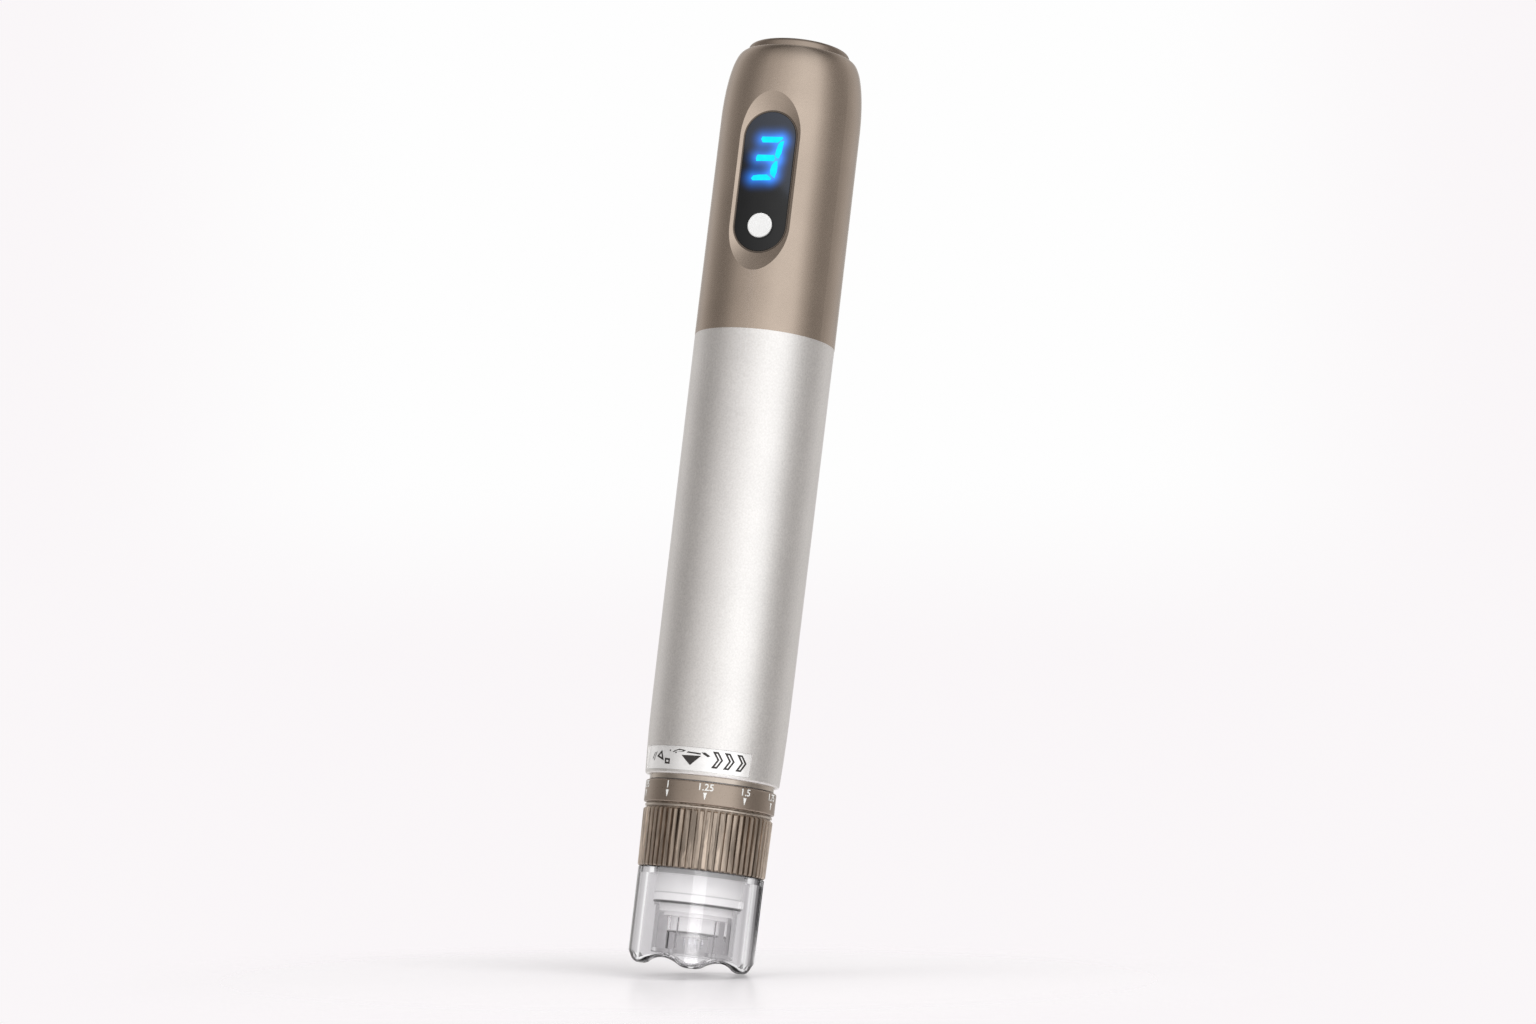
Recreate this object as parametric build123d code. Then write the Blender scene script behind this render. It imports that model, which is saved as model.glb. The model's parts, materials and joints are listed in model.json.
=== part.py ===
from build123d import *
import os
from math import cos, degrees, pi, radians, sin, sqrt, tan

# A cordless microneedling pen, standing upright on its clear guard.
# Millimetres. +Z runs up the pen, the origin is under the middle of the guard's
# rim, and the display faces -Y. An azimuth is counted from the display's side,
# anticlockwise seen from above.

# Outside lengths, from the guard's rim up
guard_length = 17.3
guard_seam = 0.2
knurl_length = 10.83
groove_height = 0.96
scale_ring_height = 4.16
neck_height = 0.99
barrel_length = 83.36
housing_straight = 42.2
shoulder_height = 13.3
cap_rise = 1.7

# Outside radii
body_radius = 13.3
joint_step = 0.05
barrel_taper = 0.3
foot_draw = 0.45
barrel_foot_height = 15.5
barrel_edge_round = 0.5
shoulder_inset = 2.85
cap_land = 0.75
cap_edge_round = 0.8
seam_azimuth = 67.5

# Clearances and one overrun for every cut
running_gap = 0.05
turning_gap = 0.05
seat_gap = 0.03
axial_gap = 0.2
overrun = 3.0

# Walls of the two shells
housing_wall = 1.4
housing_roof = 1.5
foot_wall = 0.9
spigot_length = 7.0
spigot_wall = 1.2
spigot_ledge = 2.0
seal_wire = 0.3

# Window pocket, window and button, on the -Y side
window_width = 9.9
window_length = 26.9
window_rise = 28.45
window_thickness = 0.8
window_proud = 0.15
pocket_depth = 1.7
pocket_border = 0.2
pocket_slope = 24.4
ledge_width = 0.8
ledge_thickness = 0.75
window_boss_side = 2.25
window_boss_border = 2.6
button_radius = 2.36
button_rim = 0.23
button_proud = 0.3
button_crown = 0.25
button_travel = 0.3
button_flange_step = 0.84
button_flange = 0.55
button_stem_radius = 1.2

# Polished marker band let into the barrel's foot
band_rise = 0.76
band_height = 4.3
band_sink = 0.02
band_thickness = 0.33
band_start_azimuth = -61.0
band_sweep = 110.0

# Nose tube, and the collar that turns on it
nose_wall = 0.9
nose_web = 2.0
collar_wall = 1.25
knurl_depth = 0.35
knurl_count = 60
knurl_foot_width = 0.95
knurl_tip_width = 0.5
knurl_step = 0.11
knurl_taper = 0.19
knurl_bevel = 0.3
scale_ring_step = 0.35
scale_ring_round = 0.35
bead_width = 0.5
bead_height = 0.35
retainer_height = 0.7
retainer_depth = 0.35
retainer_reach = 0.75
retainer_gap_angle = 40.0

# Depth drive: two pins in helical grooves, one turn to 2.5 mm
depth_lead = 2.5
shallow_turn_angle = 128.4
deep_turn_angle = 195.6
pin_radius = 0.8
pin_length = 2.6
pin_gap = 0.07
groove_depth = 0.8
lower_pin_rise = 5.9
pin_spacing = 3.8
pin_azimuth = 90.0

# Carrier and the socket that holds the cartridge
carrier_wall = 0.95
carrier_skirt = 1.4
carrier_crown = 2.2
carrier_roof = 1.2
carrier_lip = 1.8

# Cartridge, heights from the guard's rim up
nozzle_recess = 2.0
nozzle_length = 9.3
nozzle_rim_step = 0.35
nozzle_rim_height = 0.6
nozzle_step = 0.4
nozzle_wall = 0.7
nozzle_floor = 0.9
nozzle_mouth_share = 0.474
nozzle_rib_count = 8
nozzle_rib_thickness = 0.6
nozzle_rib_length = 5.9
guide_share = 0.605
guide_drop = 2.9
guide_flange_share = 0.79
guide_flange = 0.7
plug_height = 1.6
shoulder_step = 0.15
shoulder_ring = 2.0
lug_step = 0.5
lug_width = 3.0
lug_height = 1.6
shank_gap = 0.3
shank_wall = 1.1
cartridge_floor = 1.3
cartridge_ring_wire = 0.3
cartridge_ring_drop = 2.5

# Needle module
needle_stroke = 2.5
needle_recess = 1.4
needle_length = 2.0
needle_point = 0.8
needle_radius = 0.13
inner_needle_count = 4
outer_needle_count = 8
inner_ring_share = 0.31
outer_ring_share = 0.69
plate_share = 0.565
plate_thickness = 1.4
plate_gap = 0.15
stem_share = 0.577
plunger_head_share = 0.522
plunger_head = 1.2
plunger_rise = 13.0
needle_spring_wire = 0.5
needle_spring_share = 0.722
needle_spring_turn_count = 5

# Push rod, its bush and its return spring
rod_share = 0.5
rod_gap = 0.3
rod_head_share = 0.645
rod_head = 1.4
rod_ear_width = 2.0
rod_ear_gap = 0.3
ear_slot_share = 0.6
follower_radius = 1.0
follower_height = 1.2
follower_share = 0.75
bush_share = 0.667
bush_neck_share = 0.6
bush_flange_share = 0.867
bush_flange = 0.8
rod_stop = 0.9
rod_spring_space = 6.0
rod_spring_share = 0.733
rod_spring_wire = 0.5
rod_spring_turn_count = 4

# Drive: motor, shaft and slanted cam
cam_rim = 0.5
cam_body = 2.9
cam_hub_share = 0.54
cam_hub = 1.5
cam_gap = 0.25
shaft_radius = 1.0
shaft_depth = 8.0
sleeve_wall = 1.2
mount_thickness = 1.8
mount_gap = 0.9
damper_wall = 2.95
motor_length = 21.0
motor_boss_share = 0.465
motor_screw_share = 0.744
bell_step = 0.4
bell_height = 3.0
terminal_size = (1.6, 0.4, 1.2)
terminal_share = 0.55
damper_length = 4.0
damper_inset = 3.0
screw_radius = 0.8
screw_head_radius = 1.4
screw_head = 0.9
screw_depth = 2.4

# Battery and the chassis that holds it and the boards
cell_gap = 0.15
cell_nub_share = 0.317
cell_nub = 1.0
tab_width = 5.0
tab_thickness = 0.2
chassis_side_gap = 0.1
chassis_wall = 1.0
chassis_floor = 1.2
chassis_window_angle = 110.0
chassis_gap = 1.6
chassis_board_gap = 2.5
deck_width = 13.0
deck_thickness = 1.2

# Boards and what sits on them
board_thickness = 1.2
board_width = 14.0
board_tail = 5.4
display_side = 1.15
display_length_share = 0.574
display_centre_share = 0.588
display_depth = 2.0
display_gap = 0.1
switch_size = 4.2
switch_height = 1.3
switch_plunger_radius = 0.9
chip_width = 5.0
chip_depth = 0.9
chip_length_share = 0.12
chip_centre_share = 0.2
board_screw_border = 1.9
charge_board_border = 1.3
charge_board_thickness = 1.2
socket_width = 8.94
socket_height = 3.26
socket_wall = 0.35
socket_length = 8.0
socket_sink = 0.5
socket_base = 1.6
socket_tongue = (6.6, 0.7, 5.0)
port_border = 0.25

# Cap
cap_depth = 5.5
cap_skirt_wall = 1.2
cap_plate = 2.2
cap_seal_wire = 0.42

# Guard
guard_step = 0.15
guard_taper = 0.1
guard_wall = 1.9
lobe_count = 6
lobe_azimuth = 17.0
valley_depth = 1.5
valley_share = 0.965
lobe_blend = 3.0
guard_rim_round = 0.7
guard_roof = 1.0
guard_spigot_length = 3.2
guard_spigot_wall = 0.5

# Radii that follow, from the outside in
barrel_top_radius = body_radius - joint_step
barrel_waist_radius = barrel_top_radius - barrel_taper
barrel_foot_radius = barrel_waist_radius - foot_draw
barrel_bore_radius = barrel_foot_radius - foot_wall
spigot_bore = barrel_bore_radius - spigot_wall
cap_radius = body_radius - shoulder_inset - cap_land
band_radius = barrel_foot_radius - band_sink
scale_ring_radius = barrel_foot_radius - scale_ring_step
knurl_top_radius = scale_ring_radius - knurl_step
knurl_bottom_radius = knurl_top_radius - knurl_taper
knurl_root = knurl_bottom_radius - knurl_depth
collar_bore = knurl_root - collar_wall
nose_radius = collar_bore - turning_gap
nose_bore = nose_radius - nose_wall
carrier_radius = nose_bore - running_gap
carrier_bore = carrier_radius - carrier_wall
shank_radius = carrier_bore - shank_gap
shoulder_radius = shank_radius + shoulder_step
lug_radius = shank_radius + lug_step
nozzle_radius = shank_radius - nozzle_step
plug_radius = nozzle_radius - nozzle_wall - seat_gap
guard_top_radius = knurl_bottom_radius - guard_step
guard_rim_radius = guard_top_radius - guard_taper
guard_bore = guard_rim_radius - guard_wall
chassis_radius = spigot_bore - chassis_side_gap
cell_radius = chassis_radius - chassis_wall - cell_gap
flange_radius = barrel_bore_radius - running_gap
motor_radius = flange_radius - damper_wall
bell_radius = motor_radius - bell_step
nozzle_mouth_radius = nozzle_radius * nozzle_mouth_share
guide_radius = nozzle_radius * guide_share
guide_flange_radius = nozzle_radius * guide_flange_share
plate_radius = guide_radius * plate_share
stem_radius = plate_radius * stem_share
plunger_head_radius = (shank_radius - shank_wall) * plunger_head_share
needle_spring_radius = plunger_head_radius * needle_spring_share
rod_head_radius = nose_bore * rod_head_share
rod_ear_reach = nose_radius - rod_ear_gap
rod_spring_radius = rod_head_radius * rod_spring_share
bush_radius = rod_head_radius * bush_share
bush_neck_radius = rod_head_radius * bush_neck_share
rod_radius = bush_radius * rod_share
bush_flange_radius = rod_head_radius * bush_flange_share
follower_offset = rod_head_radius * follower_share
cam_radius = rod_head_radius + cam_rim
cam_hub_radius = cam_radius * cam_hub_share
motor_boss_radius = motor_radius * motor_boss_share
motor_screw_offset = motor_radius * motor_screw_share
terminal_offset = bell_radius * terminal_share
cell_nub_radius = cell_radius * cell_nub_share

# Heights that follow from the lengths above
collar_bottom = guard_length + guard_seam
knurl_top = collar_bottom + knurl_length
scale_bottom = knurl_top + groove_height
scale_top = scale_bottom + scale_ring_height
barrel_bottom = scale_top + neck_height
joint_height = barrel_bottom + barrel_length
shoulder_bottom = joint_height + housing_straight
housing_top = shoulder_bottom + shoulder_height
pen_top = housing_top + cap_rise

# Depth travel each way from where the pen is set in the photograph
travel_up = depth_lead * deep_turn_angle / 360
travel_down = depth_lead * shallow_turn_angle / 360

# Depth drive and carrier
lower_pin = collar_bottom + lower_pin_rise
upper_pin = lower_pin + pin_spacing
carrier_bottom = lower_pin - carrier_skirt
carrier_top = upper_pin + carrier_crown

# Cartridge
nozzle_top = nozzle_recess + nozzle_length
plug_bottom = nozzle_top - plug_height
guide_bottom = plug_bottom - guide_flange - guide_drop
shank_bottom = nozzle_top + shoulder_ring
cartridge_top = carrier_top - carrier_roof - axial_gap
floor_top = plug_bottom + cartridge_floor
plunger_underside = floor_top + plunger_rise
plunger_top = plunger_underside + plunger_head
stem_bore = stem_radius + running_gap
needle_tip = nozzle_recess + needle_recess
plate_bottom = needle_tip + needle_length
guide_bore = plate_radius + plate_gap

# Push rod
rod_tip = plunger_top + travel_up + rod_gap
web_bottom = carrier_top + travel_up + 3 * axial_gap
web_top = web_bottom + nose_web
bush_flange_top = web_top + bush_flange
head_underside = bush_flange_top + rod_spring_space
head_top = head_underside + rod_head
follower_top = head_top + follower_height
nose_bottom = collar_bottom + axial_gap
nose_top = head_underside + rod_head * ear_slot_share
bush_neck = rod_spring_space - needle_stroke - rod_stop

# Cam: its slope lifts the follower by the stroke
cam_slope = needle_stroke / 2 / follower_offset
cam_centre = follower_top + cam_gap + cam_slope * (follower_offset + follower_radius)
cam_low = cam_centre - cam_slope * cam_radius
cam_top = cam_centre + cam_body
hub_top = cam_top + cam_hub
mount_bottom = hub_top + mount_gap
motor_bottom = mount_bottom + mount_thickness
motor_top = motor_bottom + motor_length
bell_top = motor_top + bell_height

# Chassis and battery
chassis_bottom = bell_top + terminal_size[2] + chassis_gap
window_centre = joint_height + window_rise
window_top = window_centre + window_length / 2
button_height = window_centre - (window_length - window_width) / 2
above_button = window_top - button_height
board_bottom = button_height - board_tail
chassis_top = board_bottom - chassis_board_gap
cell_bottom = chassis_bottom + chassis_floor + tab_thickness
cell_top = chassis_top - chassis_floor - tab_thickness
charge_board_top = pen_top - socket_sink - socket_length
deck_top = charge_board_top - charge_board_thickness
board_top = deck_top - chassis_gap / 2

# Window, counted out from the pen's axis towards -Y
pocket_floor = body_radius - pocket_depth
window_front = pocket_floor + window_proud
window_back = window_front - window_thickness
ledge_back = window_back - ledge_thickness
board_front = ledge_back - display_gap - display_depth
board_back = board_front - board_thickness
lens_hole = button_radius + running_gap + button_rim
button_front = window_front + button_proud
flange_front = window_back - axial_gap / 2
flange_back = flange_front - button_flange
switch_front = board_front + switch_height
nub_front = flange_back - axial_gap


def post(radius, bottom, top):
    """A round bar along Z."""
    return Pos(0, 0, bottom) * extrude(Circle(radius), top - bottom)


def tube(outer, inner, bottom, top):
    """A plain tube along Z."""
    return Pos(0, 0, bottom) * extrude(Circle(outer) - Circle(inner), top - bottom)


def turned(*points):
    """A closed outline of (radius, height) points turned about Z."""
    return revolve(Plane.XZ * make_face(Polyline(*points, close=True)), Axis.Z)


def seal(ring_radius, wire, height):
    """An O-ring round Z."""
    return Pos(0, 0, height) * Torus(ring_radius, wire)


def block(width, depth, bottom, top, x=0, y=0):
    """A box that stands on a height, centred on x and y."""
    height = top - bottom
    return Pos(x, y, bottom + height / 2) * Box(width, depth, height)


def front(distance, height=0, x=0):
    """A sketch plane that looks out at -Y, with its own x axis up the pen."""
    return Plane(origin=(x, -distance, height), x_dir=(0, 0, 1), z_dir=(0, -1, 0))


def front_round(radius, near, far, height, x=0):
    """A round bar along Y, from near the axis outwards."""
    return extrude(front(near, height, x) * Circle(radius), far - near)


def front_stadium(width, length, near, far, height):
    """A stadium bar along Y, long side up the pen."""
    return extrude(front(near, height) * SlotOverall(length, width), far - near)


def front_block(width, height, near, far, centre, x=0):
    """A box between two distances from the axis on the display's side."""
    return extrude(front(near, centre, x) * Rectangle(height, width), far - near)


def widest_circles(shape, count):
    """The circular edges of largest radius."""
    return shape.edges().filter_by(GeomType.CIRCLE).sort_by(SortBy.RADIUS)[-count:]


def lowest_rim(shape):
    """The widest circular edge of the shape's lowest face."""
    lowest = shape.edges().group_by(Axis.Z)[0]
    return lowest.filter_by(GeomType.CIRCLE).sort_by(SortBy.RADIUS)[-1]


def biarc(start, start_way, end, end_way):
    """Two tangent arcs that leave start and reach end along the given ways."""
    chord = end - start
    both = start_way + end_way
    twist = 2 * (1 - start_way.dot(end_way))
    reach = chord.dot(both)
    step = (sqrt(reach * reach + twist * chord.dot(chord)) - reach) / twist
    middle = (start + end + (start_way - end_way) * step) / 2
    first = Edge.make_tangent_arc(start, start_way, middle)
    second = Edge.make_tangent_arc(middle, first.tangent_at(1), end)
    return [first, second]


def coil(ring_radius, wire, turns, bottom, top):
    """A helical spring of round wire, in arcs of a quarter turn."""
    pitch = (top - bottom - wire) / turns
    half_turns = 2 * turns

    def place(step):
        angle = pi * step
        height = bottom + wire / 2 + pitch * step / 2
        return Vector(ring_radius * cos(angle), ring_radius * sin(angle), height)

    def way(step):
        angle = pi * step
        return Vector(-sin(angle), cos(angle), pitch / (2 * pi * ring_radius)).normalized()

    edges = []
    for step in range(half_turns):
        edges += biarc(place(step), way(step), place(step + 1), way(step + 1))
    gap = pitch * cos(way(0).Z) - wire
    print("spring gap between turns", round(gap, 2))
    section = Plane(origin=place(0), z_dir=way(0)) * Circle(wire / 2)
    return sweep(section, path=Wire(edges))


def shouldered(radius, bottom, inset, rise):
    """A round bar whose top is drawn in by a quarter ellipse."""
    side = Line((radius, bottom), (radius, shoulder_bottom))
    curve = EllipticalCenterArc((radius - inset, shoulder_bottom), inset, rise, 0, arc_size=90)
    roof = Line(curve @ 1, (0, shoulder_bottom + rise))
    axis_line = Line((0, shoulder_bottom + rise), (0, bottom))
    floor = Line((0, bottom), (radius, bottom))
    return revolve(Plane.XZ * make_face([side, curve, roof, axis_line, floor]), Axis.Z)


def upper_housing():
    """Turned shell with a spigot for the barrel and a sloped stadium pocket."""
    outside = shouldered(body_radius, joint_height, shoulder_inset, shoulder_height)
    outside = Rot(0, 0, seam_azimuth - 90) * outside
    inner_radius = body_radius - housing_wall
    inner_rise = shoulder_height - housing_roof
    inside = shouldered(inner_radius, joint_height + spigot_ledge, shoulder_inset - housing_wall, inner_rise)
    boss_length = window_length + 2 * window_boss_border
    boss_width = window_width + 2 * window_boss_side
    boss = front_block(boss_width, boss_length, ledge_back, body_radius, window_centre)
    shell = outside - inside + (boss & outside)
    spigot_radius = barrel_bore_radius - seat_gap
    shell += tube(spigot_radius, spigot_bore, joint_height - spigot_length, joint_height)
    shell -= post(spigot_bore, joint_height - spigot_length, joint_height + spigot_ledge + overrun)
    seal_height = joint_height - spigot_length / 2
    shell -= tube(
        spigot_radius + overrun,
        barrel_bore_radius - 2 * seal_wire,
        seal_height - seal_wire - seat_gap,
        seal_height + seal_wire + seat_gap,
    )
    shell -= post(cap_radius + seat_gap, shoulder_bottom, housing_top + overrun)
    shell -= pocket()
    fit = 2 * seat_gap
    shell -= front_stadium(window_width + fit, window_length + fit, window_back, body_radius, window_centre)
    light = 2 * ledge_width
    shell -= front_stadium(
        window_width - light, window_length - light, ledge_back - overrun, body_radius, window_centre
    )
    return shell


def pocket():
    """The recess round the window: a flat floor and walls that slope outwards."""
    depth = body_radius - pocket_floor + overrun / 2
    spread = 2 * depth / tan(radians(pocket_slope))
    width = window_width + 2 * pocket_border
    length = window_length + 2 * pocket_border
    floor = front(pocket_floor, window_centre) * SlotOverall(length, width)
    mouth = front(pocket_floor + depth, window_centre) * SlotOverall(length + spread, width + spread)
    return loft([floor, mouth], ruled=True)


def display_window():
    """Glossy stadium lens with a round hole for the button."""
    lens = front_stadium(window_width, window_length, window_back, window_front, window_centre)
    rim = lens.edges().group_by(Axis.Y)[0]
    lens = chamfer(rim, window_proud * 0.6)
    return lens - front_round(lens_hole, window_back - overrun, window_front + overrun, button_height)


def button_bezel():
    """Thin rim between the lens and the button."""
    ring = front_round(lens_hole, window_back, window_front + button_proud / 3, button_height)
    hole = lens_hole - button_rim
    return ring - front_round(hole, window_back - overrun, window_front + overrun, button_height)


def power_button():
    """Round key with a flange behind the lens and a short stem."""
    key = front_round(button_radius, flange_back, button_front, button_height)
    key = fillet(key.edges().group_by(Axis.Y)[0], button_crown)
    key += front_round(button_radius + button_flange_step, flange_back, flange_front, button_height)
    return key + front_round(button_stem_radius, nub_front, flange_back, button_height)


def switch_plunger():
    """The switch's nub, which the button's stem rests on."""
    tip = switch_front - button_travel - axial_gap
    return front_round(switch_plunger_radius, tip, nub_front, button_height)


def button_switch():
    """Square switch body with a well for its nub."""
    body = front_block(switch_size, switch_size, board_front, switch_front, button_height)
    well = switch_front - 2 * button_travel - 2 * axial_gap
    return body - front_round(switch_plunger_radius + running_gap, well, switch_front + overrun, button_height)


def barrel():
    """Long tube, gently tapered, drawn in towards its foot, with the band's recess."""
    waist = barrel_bottom + barrel_foot_height
    run = Vector(barrel_waist_radius, waist) - Vector(barrel_top_radius, joint_height)
    slope = Line((barrel_top_radius, joint_height), (barrel_waist_radius, waist))
    foot = TangentArc((barrel_waist_radius, waist), (barrel_foot_radius, barrel_bottom), tangent=run)
    base = Line((barrel_foot_radius, barrel_bottom), (barrel_bore_radius, barrel_bottom))
    bore = Line((barrel_bore_radius, barrel_bottom), (barrel_bore_radius, joint_height))
    top = Line((barrel_bore_radius, joint_height), (barrel_top_radius, joint_height))
    shell = revolve(Plane.XZ * make_face([slope, foot, base, bore, top]), Axis.Z)
    shell = fillet(lowest_rim(shell), barrel_edge_round)
    return shell - band(barrel_foot_radius + overrun, seat_gap)


def band(outer, margin):
    """Part of a ring on the marker band's line, with a margin all round."""
    inner = band_radius - band_thickness
    bottom = barrel_bottom + band_rise - margin
    height = band_height + 2 * margin
    section = Plane.XZ * Pos((outer + inner) / 2, bottom + height / 2) * Rectangle(outer - inner, height)
    extra = margin / band_radius * 180 / pi
    strip = revolve(section, Axis.Z, revolution_arc=band_sweep + 2 * extra)
    return Rot(0, 0, band_start_azimuth - 90 - extra) * strip


def marker_band():
    """Thin polished strip that lies in the barrel's recess."""
    return band(band_radius, 0)


def neck_ring():
    """Bright washer that shows between the barrel and the scale ring."""
    return tube(barrel_bore_radius, nose_radius + seat_gap, scale_top + axial_gap, barrel_bottom)


def nose_tube():
    """Slotted tube that guides the carrier, with a web for the rod's bush."""
    body = tube(nose_radius, nose_bore, nose_bottom, nose_top)
    body += tube(flange_radius, nose_bore, barrel_bottom, nose_top)
    body += tube(nose_bore + seat_gap, bush_radius, web_bottom, web_top)
    for pin_height, azimuth in ((lower_pin, pin_azimuth), (upper_pin, pin_azimuth + 180)):
        body -= pin_slot(pin_height, azimuth)
    groove_floor = nose_radius - retainer_depth
    groove_low = nose_bottom + retainer_height
    body -= tube(nose_radius + overrun, groove_floor, groove_low, groove_low + retainer_height)
    ear_slot_bottom = head_underside - needle_stroke - 2 * axial_gap
    ear_slot_width = rod_ear_width + 4 * running_gap
    ear_slot_reach = rod_ear_reach + 2 * axial_gap
    return body - block(ear_slot_width, ear_slot_reach, ear_slot_bottom, nose_top + overrun, y=ear_slot_reach / 2)


def pin_slot(pin_height, azimuth):
    """Straight slot through the nose tube for one pin and its whole travel."""
    half_width = pin_radius + pin_gap
    low = pin_height - travel_down - axial_gap
    high = pin_height + travel_up + axial_gap
    length = high - low + 2 * half_width
    plane = Plane(origin=(0, 0, (low + high) / 2), x_dir=(0, 0, 1), z_dir=(1, 0, 0))
    slot = extrude(plane * SlotOverall(length, 2 * half_width), nose_radius + overrun)
    return Rot(0, 0, azimuth - 90) * slot


def guide_groove(pin_height, azimuth):
    """Helical groove in the collar's bore, rising anticlockwise by the lead."""
    half_width = pin_radius + pin_gap
    end_angle = degrees((half_width + seat_gap) / collar_bore)
    sweep_angle = shallow_turn_angle + deep_turn_angle + 2 * end_angle
    start_height = pin_height - travel_down - depth_lead * end_angle / 360
    path = Helix(depth_lead, depth_lead * sweep_angle / 360, collar_bore)
    section_plane = Plane(origin=path @ 0, x_dir=(1, 0, 0), z_dir=path % 0)
    section = section_plane * Rectangle(2 * groove_depth, 2 * half_width)
    groove = sweep(section, path=path, is_frenet=True)
    start_azimuth = azimuth - 90 - shallow_turn_angle - end_angle
    return Pos(0, 0, start_height) * Rot(0, 0, start_azimuth) * groove


def knurled_collar():
    """Ribbed grip with two helical grooves in its bore."""
    rib_foot = knurl_root - knurl_foot_width / 4
    rib_tip = knurl_top_radius + knurl_bevel
    half_foot = knurl_foot_width / 2
    half_tip = knurl_tip_width / 2
    rib = make_face(
        Polyline((rib_foot, -half_foot), (rib_tip, -half_tip), (rib_tip, half_tip), (rib_foot, half_foot), close=True)
    )
    ribs = Circle(knurl_root) + [Rot(0, 0, 360 / knurl_count * step) * rib for step in range(knurl_count)]
    grip = Pos(0, 0, collar_bottom) * extrude(ribs, knurl_length)
    grip &= turned(
        (0, collar_bottom),
        (knurl_bottom_radius - knurl_bevel, collar_bottom),
        (knurl_bottom_radius, collar_bottom + knurl_bevel),
        (knurl_top_radius, knurl_top - knurl_bevel),
        (knurl_top_radius - knurl_bevel, knurl_top),
        (0, knurl_top),
    )
    grip += post(knurl_root, knurl_top, scale_top - axial_gap)
    grip -= post(collar_bore, collar_bottom - overrun, scale_top + overrun)
    retainer_radius = nose_radius + retainer_reach
    retainer_top = nose_bottom + 2 * retainer_height
    grip -= post(retainer_radius + axial_gap, collar_bottom - overrun, retainer_top + axial_gap)
    grip -= guide_groove(lower_pin, pin_azimuth)
    return grip - guide_groove(upper_pin, pin_azimuth + 180)


def scale_ring():
    """Ring that carries the depth scale, with rounded edges."""
    ring = tube(scale_ring_radius, knurl_root, scale_bottom, scale_top)
    return fillet(widest_circles(ring, 2), scale_ring_round)


def bead_ring():
    """Slim bright wire in the groove between the grip and the scale ring."""
    middle = (knurl_top + scale_bottom) / 2
    bead = tube(knurl_root + bead_height, knurl_root, middle - bead_width / 2, middle + bead_width / 2)
    return fillet(widest_circles(bead, 2), bead_width / 3)


def retaining_ring():
    """Open spring ring that keeps the collar on the nose tube."""
    inner = nose_radius - retainer_depth + seat_gap
    outer = nose_radius + retainer_reach
    bottom = nose_bottom + retainer_height
    section = Plane.XZ * Pos((inner + outer) / 2, bottom + retainer_height / 2)
    section = section * Rectangle(outer - inner, retainer_height - 2 * seat_gap)
    return revolve(section, Axis.Z, revolution_arc=360 - retainer_gap_angle)


def cartridge_carrier():
    """Sliding cup that holds the cartridge and carries the two pins."""
    cup = tube(carrier_radius, carrier_bore, carrier_bottom, carrier_top)
    cup += tube(carrier_bore + seat_gap, carrier_bore - carrier_lip, carrier_top - carrier_roof, carrier_top)
    for pin in pins(carrier_bore - overrun, carrier_bore + overrun):
        cup -= pin
    return cup


def pins(inner, outer):
    """The two pins, between two radii, on opposite sides at their own heights."""
    found = []
    for height, azimuth in ((lower_pin, pin_azimuth), (upper_pin, pin_azimuth + 180)):
        plane = Plane(origin=(inner, 0, height), x_dir=(0, 1, 0), z_dir=(1, 0, 0))
        found.append(Rot(0, 0, azimuth - 90) * extrude(plane * Circle(pin_radius), outer - inner))
    return found


def guide_pins():
    """Two steel pins, from the carrier's wall into the collar's grooves."""
    inner = carrier_bore + seat_gap
    return Compound(children=pins(inner, inner + pin_length))


def cartridge_body():
    """White moulded cartridge: plug for the nozzle, shoulder with lugs, long shank."""
    shell = turned(
        (stem_bore, plug_bottom),
        (plug_radius, plug_bottom),
        (plug_radius, nozzle_top),
        (shoulder_radius, nozzle_top),
        (shoulder_radius, shank_bottom),
        (shank_radius, shank_bottom),
        (shank_radius, cartridge_top),
        (shank_radius - shank_wall, cartridge_top),
        (shank_radius - shank_wall, floor_top),
        (stem_bore, floor_top),
    )
    lug_bottom = nozzle_top + (shoulder_ring - lug_height) / 2
    lugs = block(2 * lug_radius, lug_width, lug_bottom, lug_bottom + lug_height)
    lugs &= post(lug_radius, lug_bottom, lug_bottom + lug_height)
    shell += lugs - post(shank_radius - shank_wall, lug_bottom - overrun, shank_bottom + overrun)
    groove_height_centre = cartridge_top - cartridge_ring_drop
    groove_radius = carrier_bore - running_gap - 2 * cartridge_ring_wire
    return shell - tube(
        shank_radius + overrun,
        groove_radius,
        groove_height_centre - cartridge_ring_wire - seat_gap,
        groove_height_centre + cartridge_ring_wire + seat_gap,
    )


def cartridge_ring():
    """O-ring on the shank that grips the carrier's bore."""
    ring_radius = carrier_bore - running_gap - cartridge_ring_wire
    return seal(ring_radius, cartridge_ring_wire, cartridge_top - cartridge_ring_drop)


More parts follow.
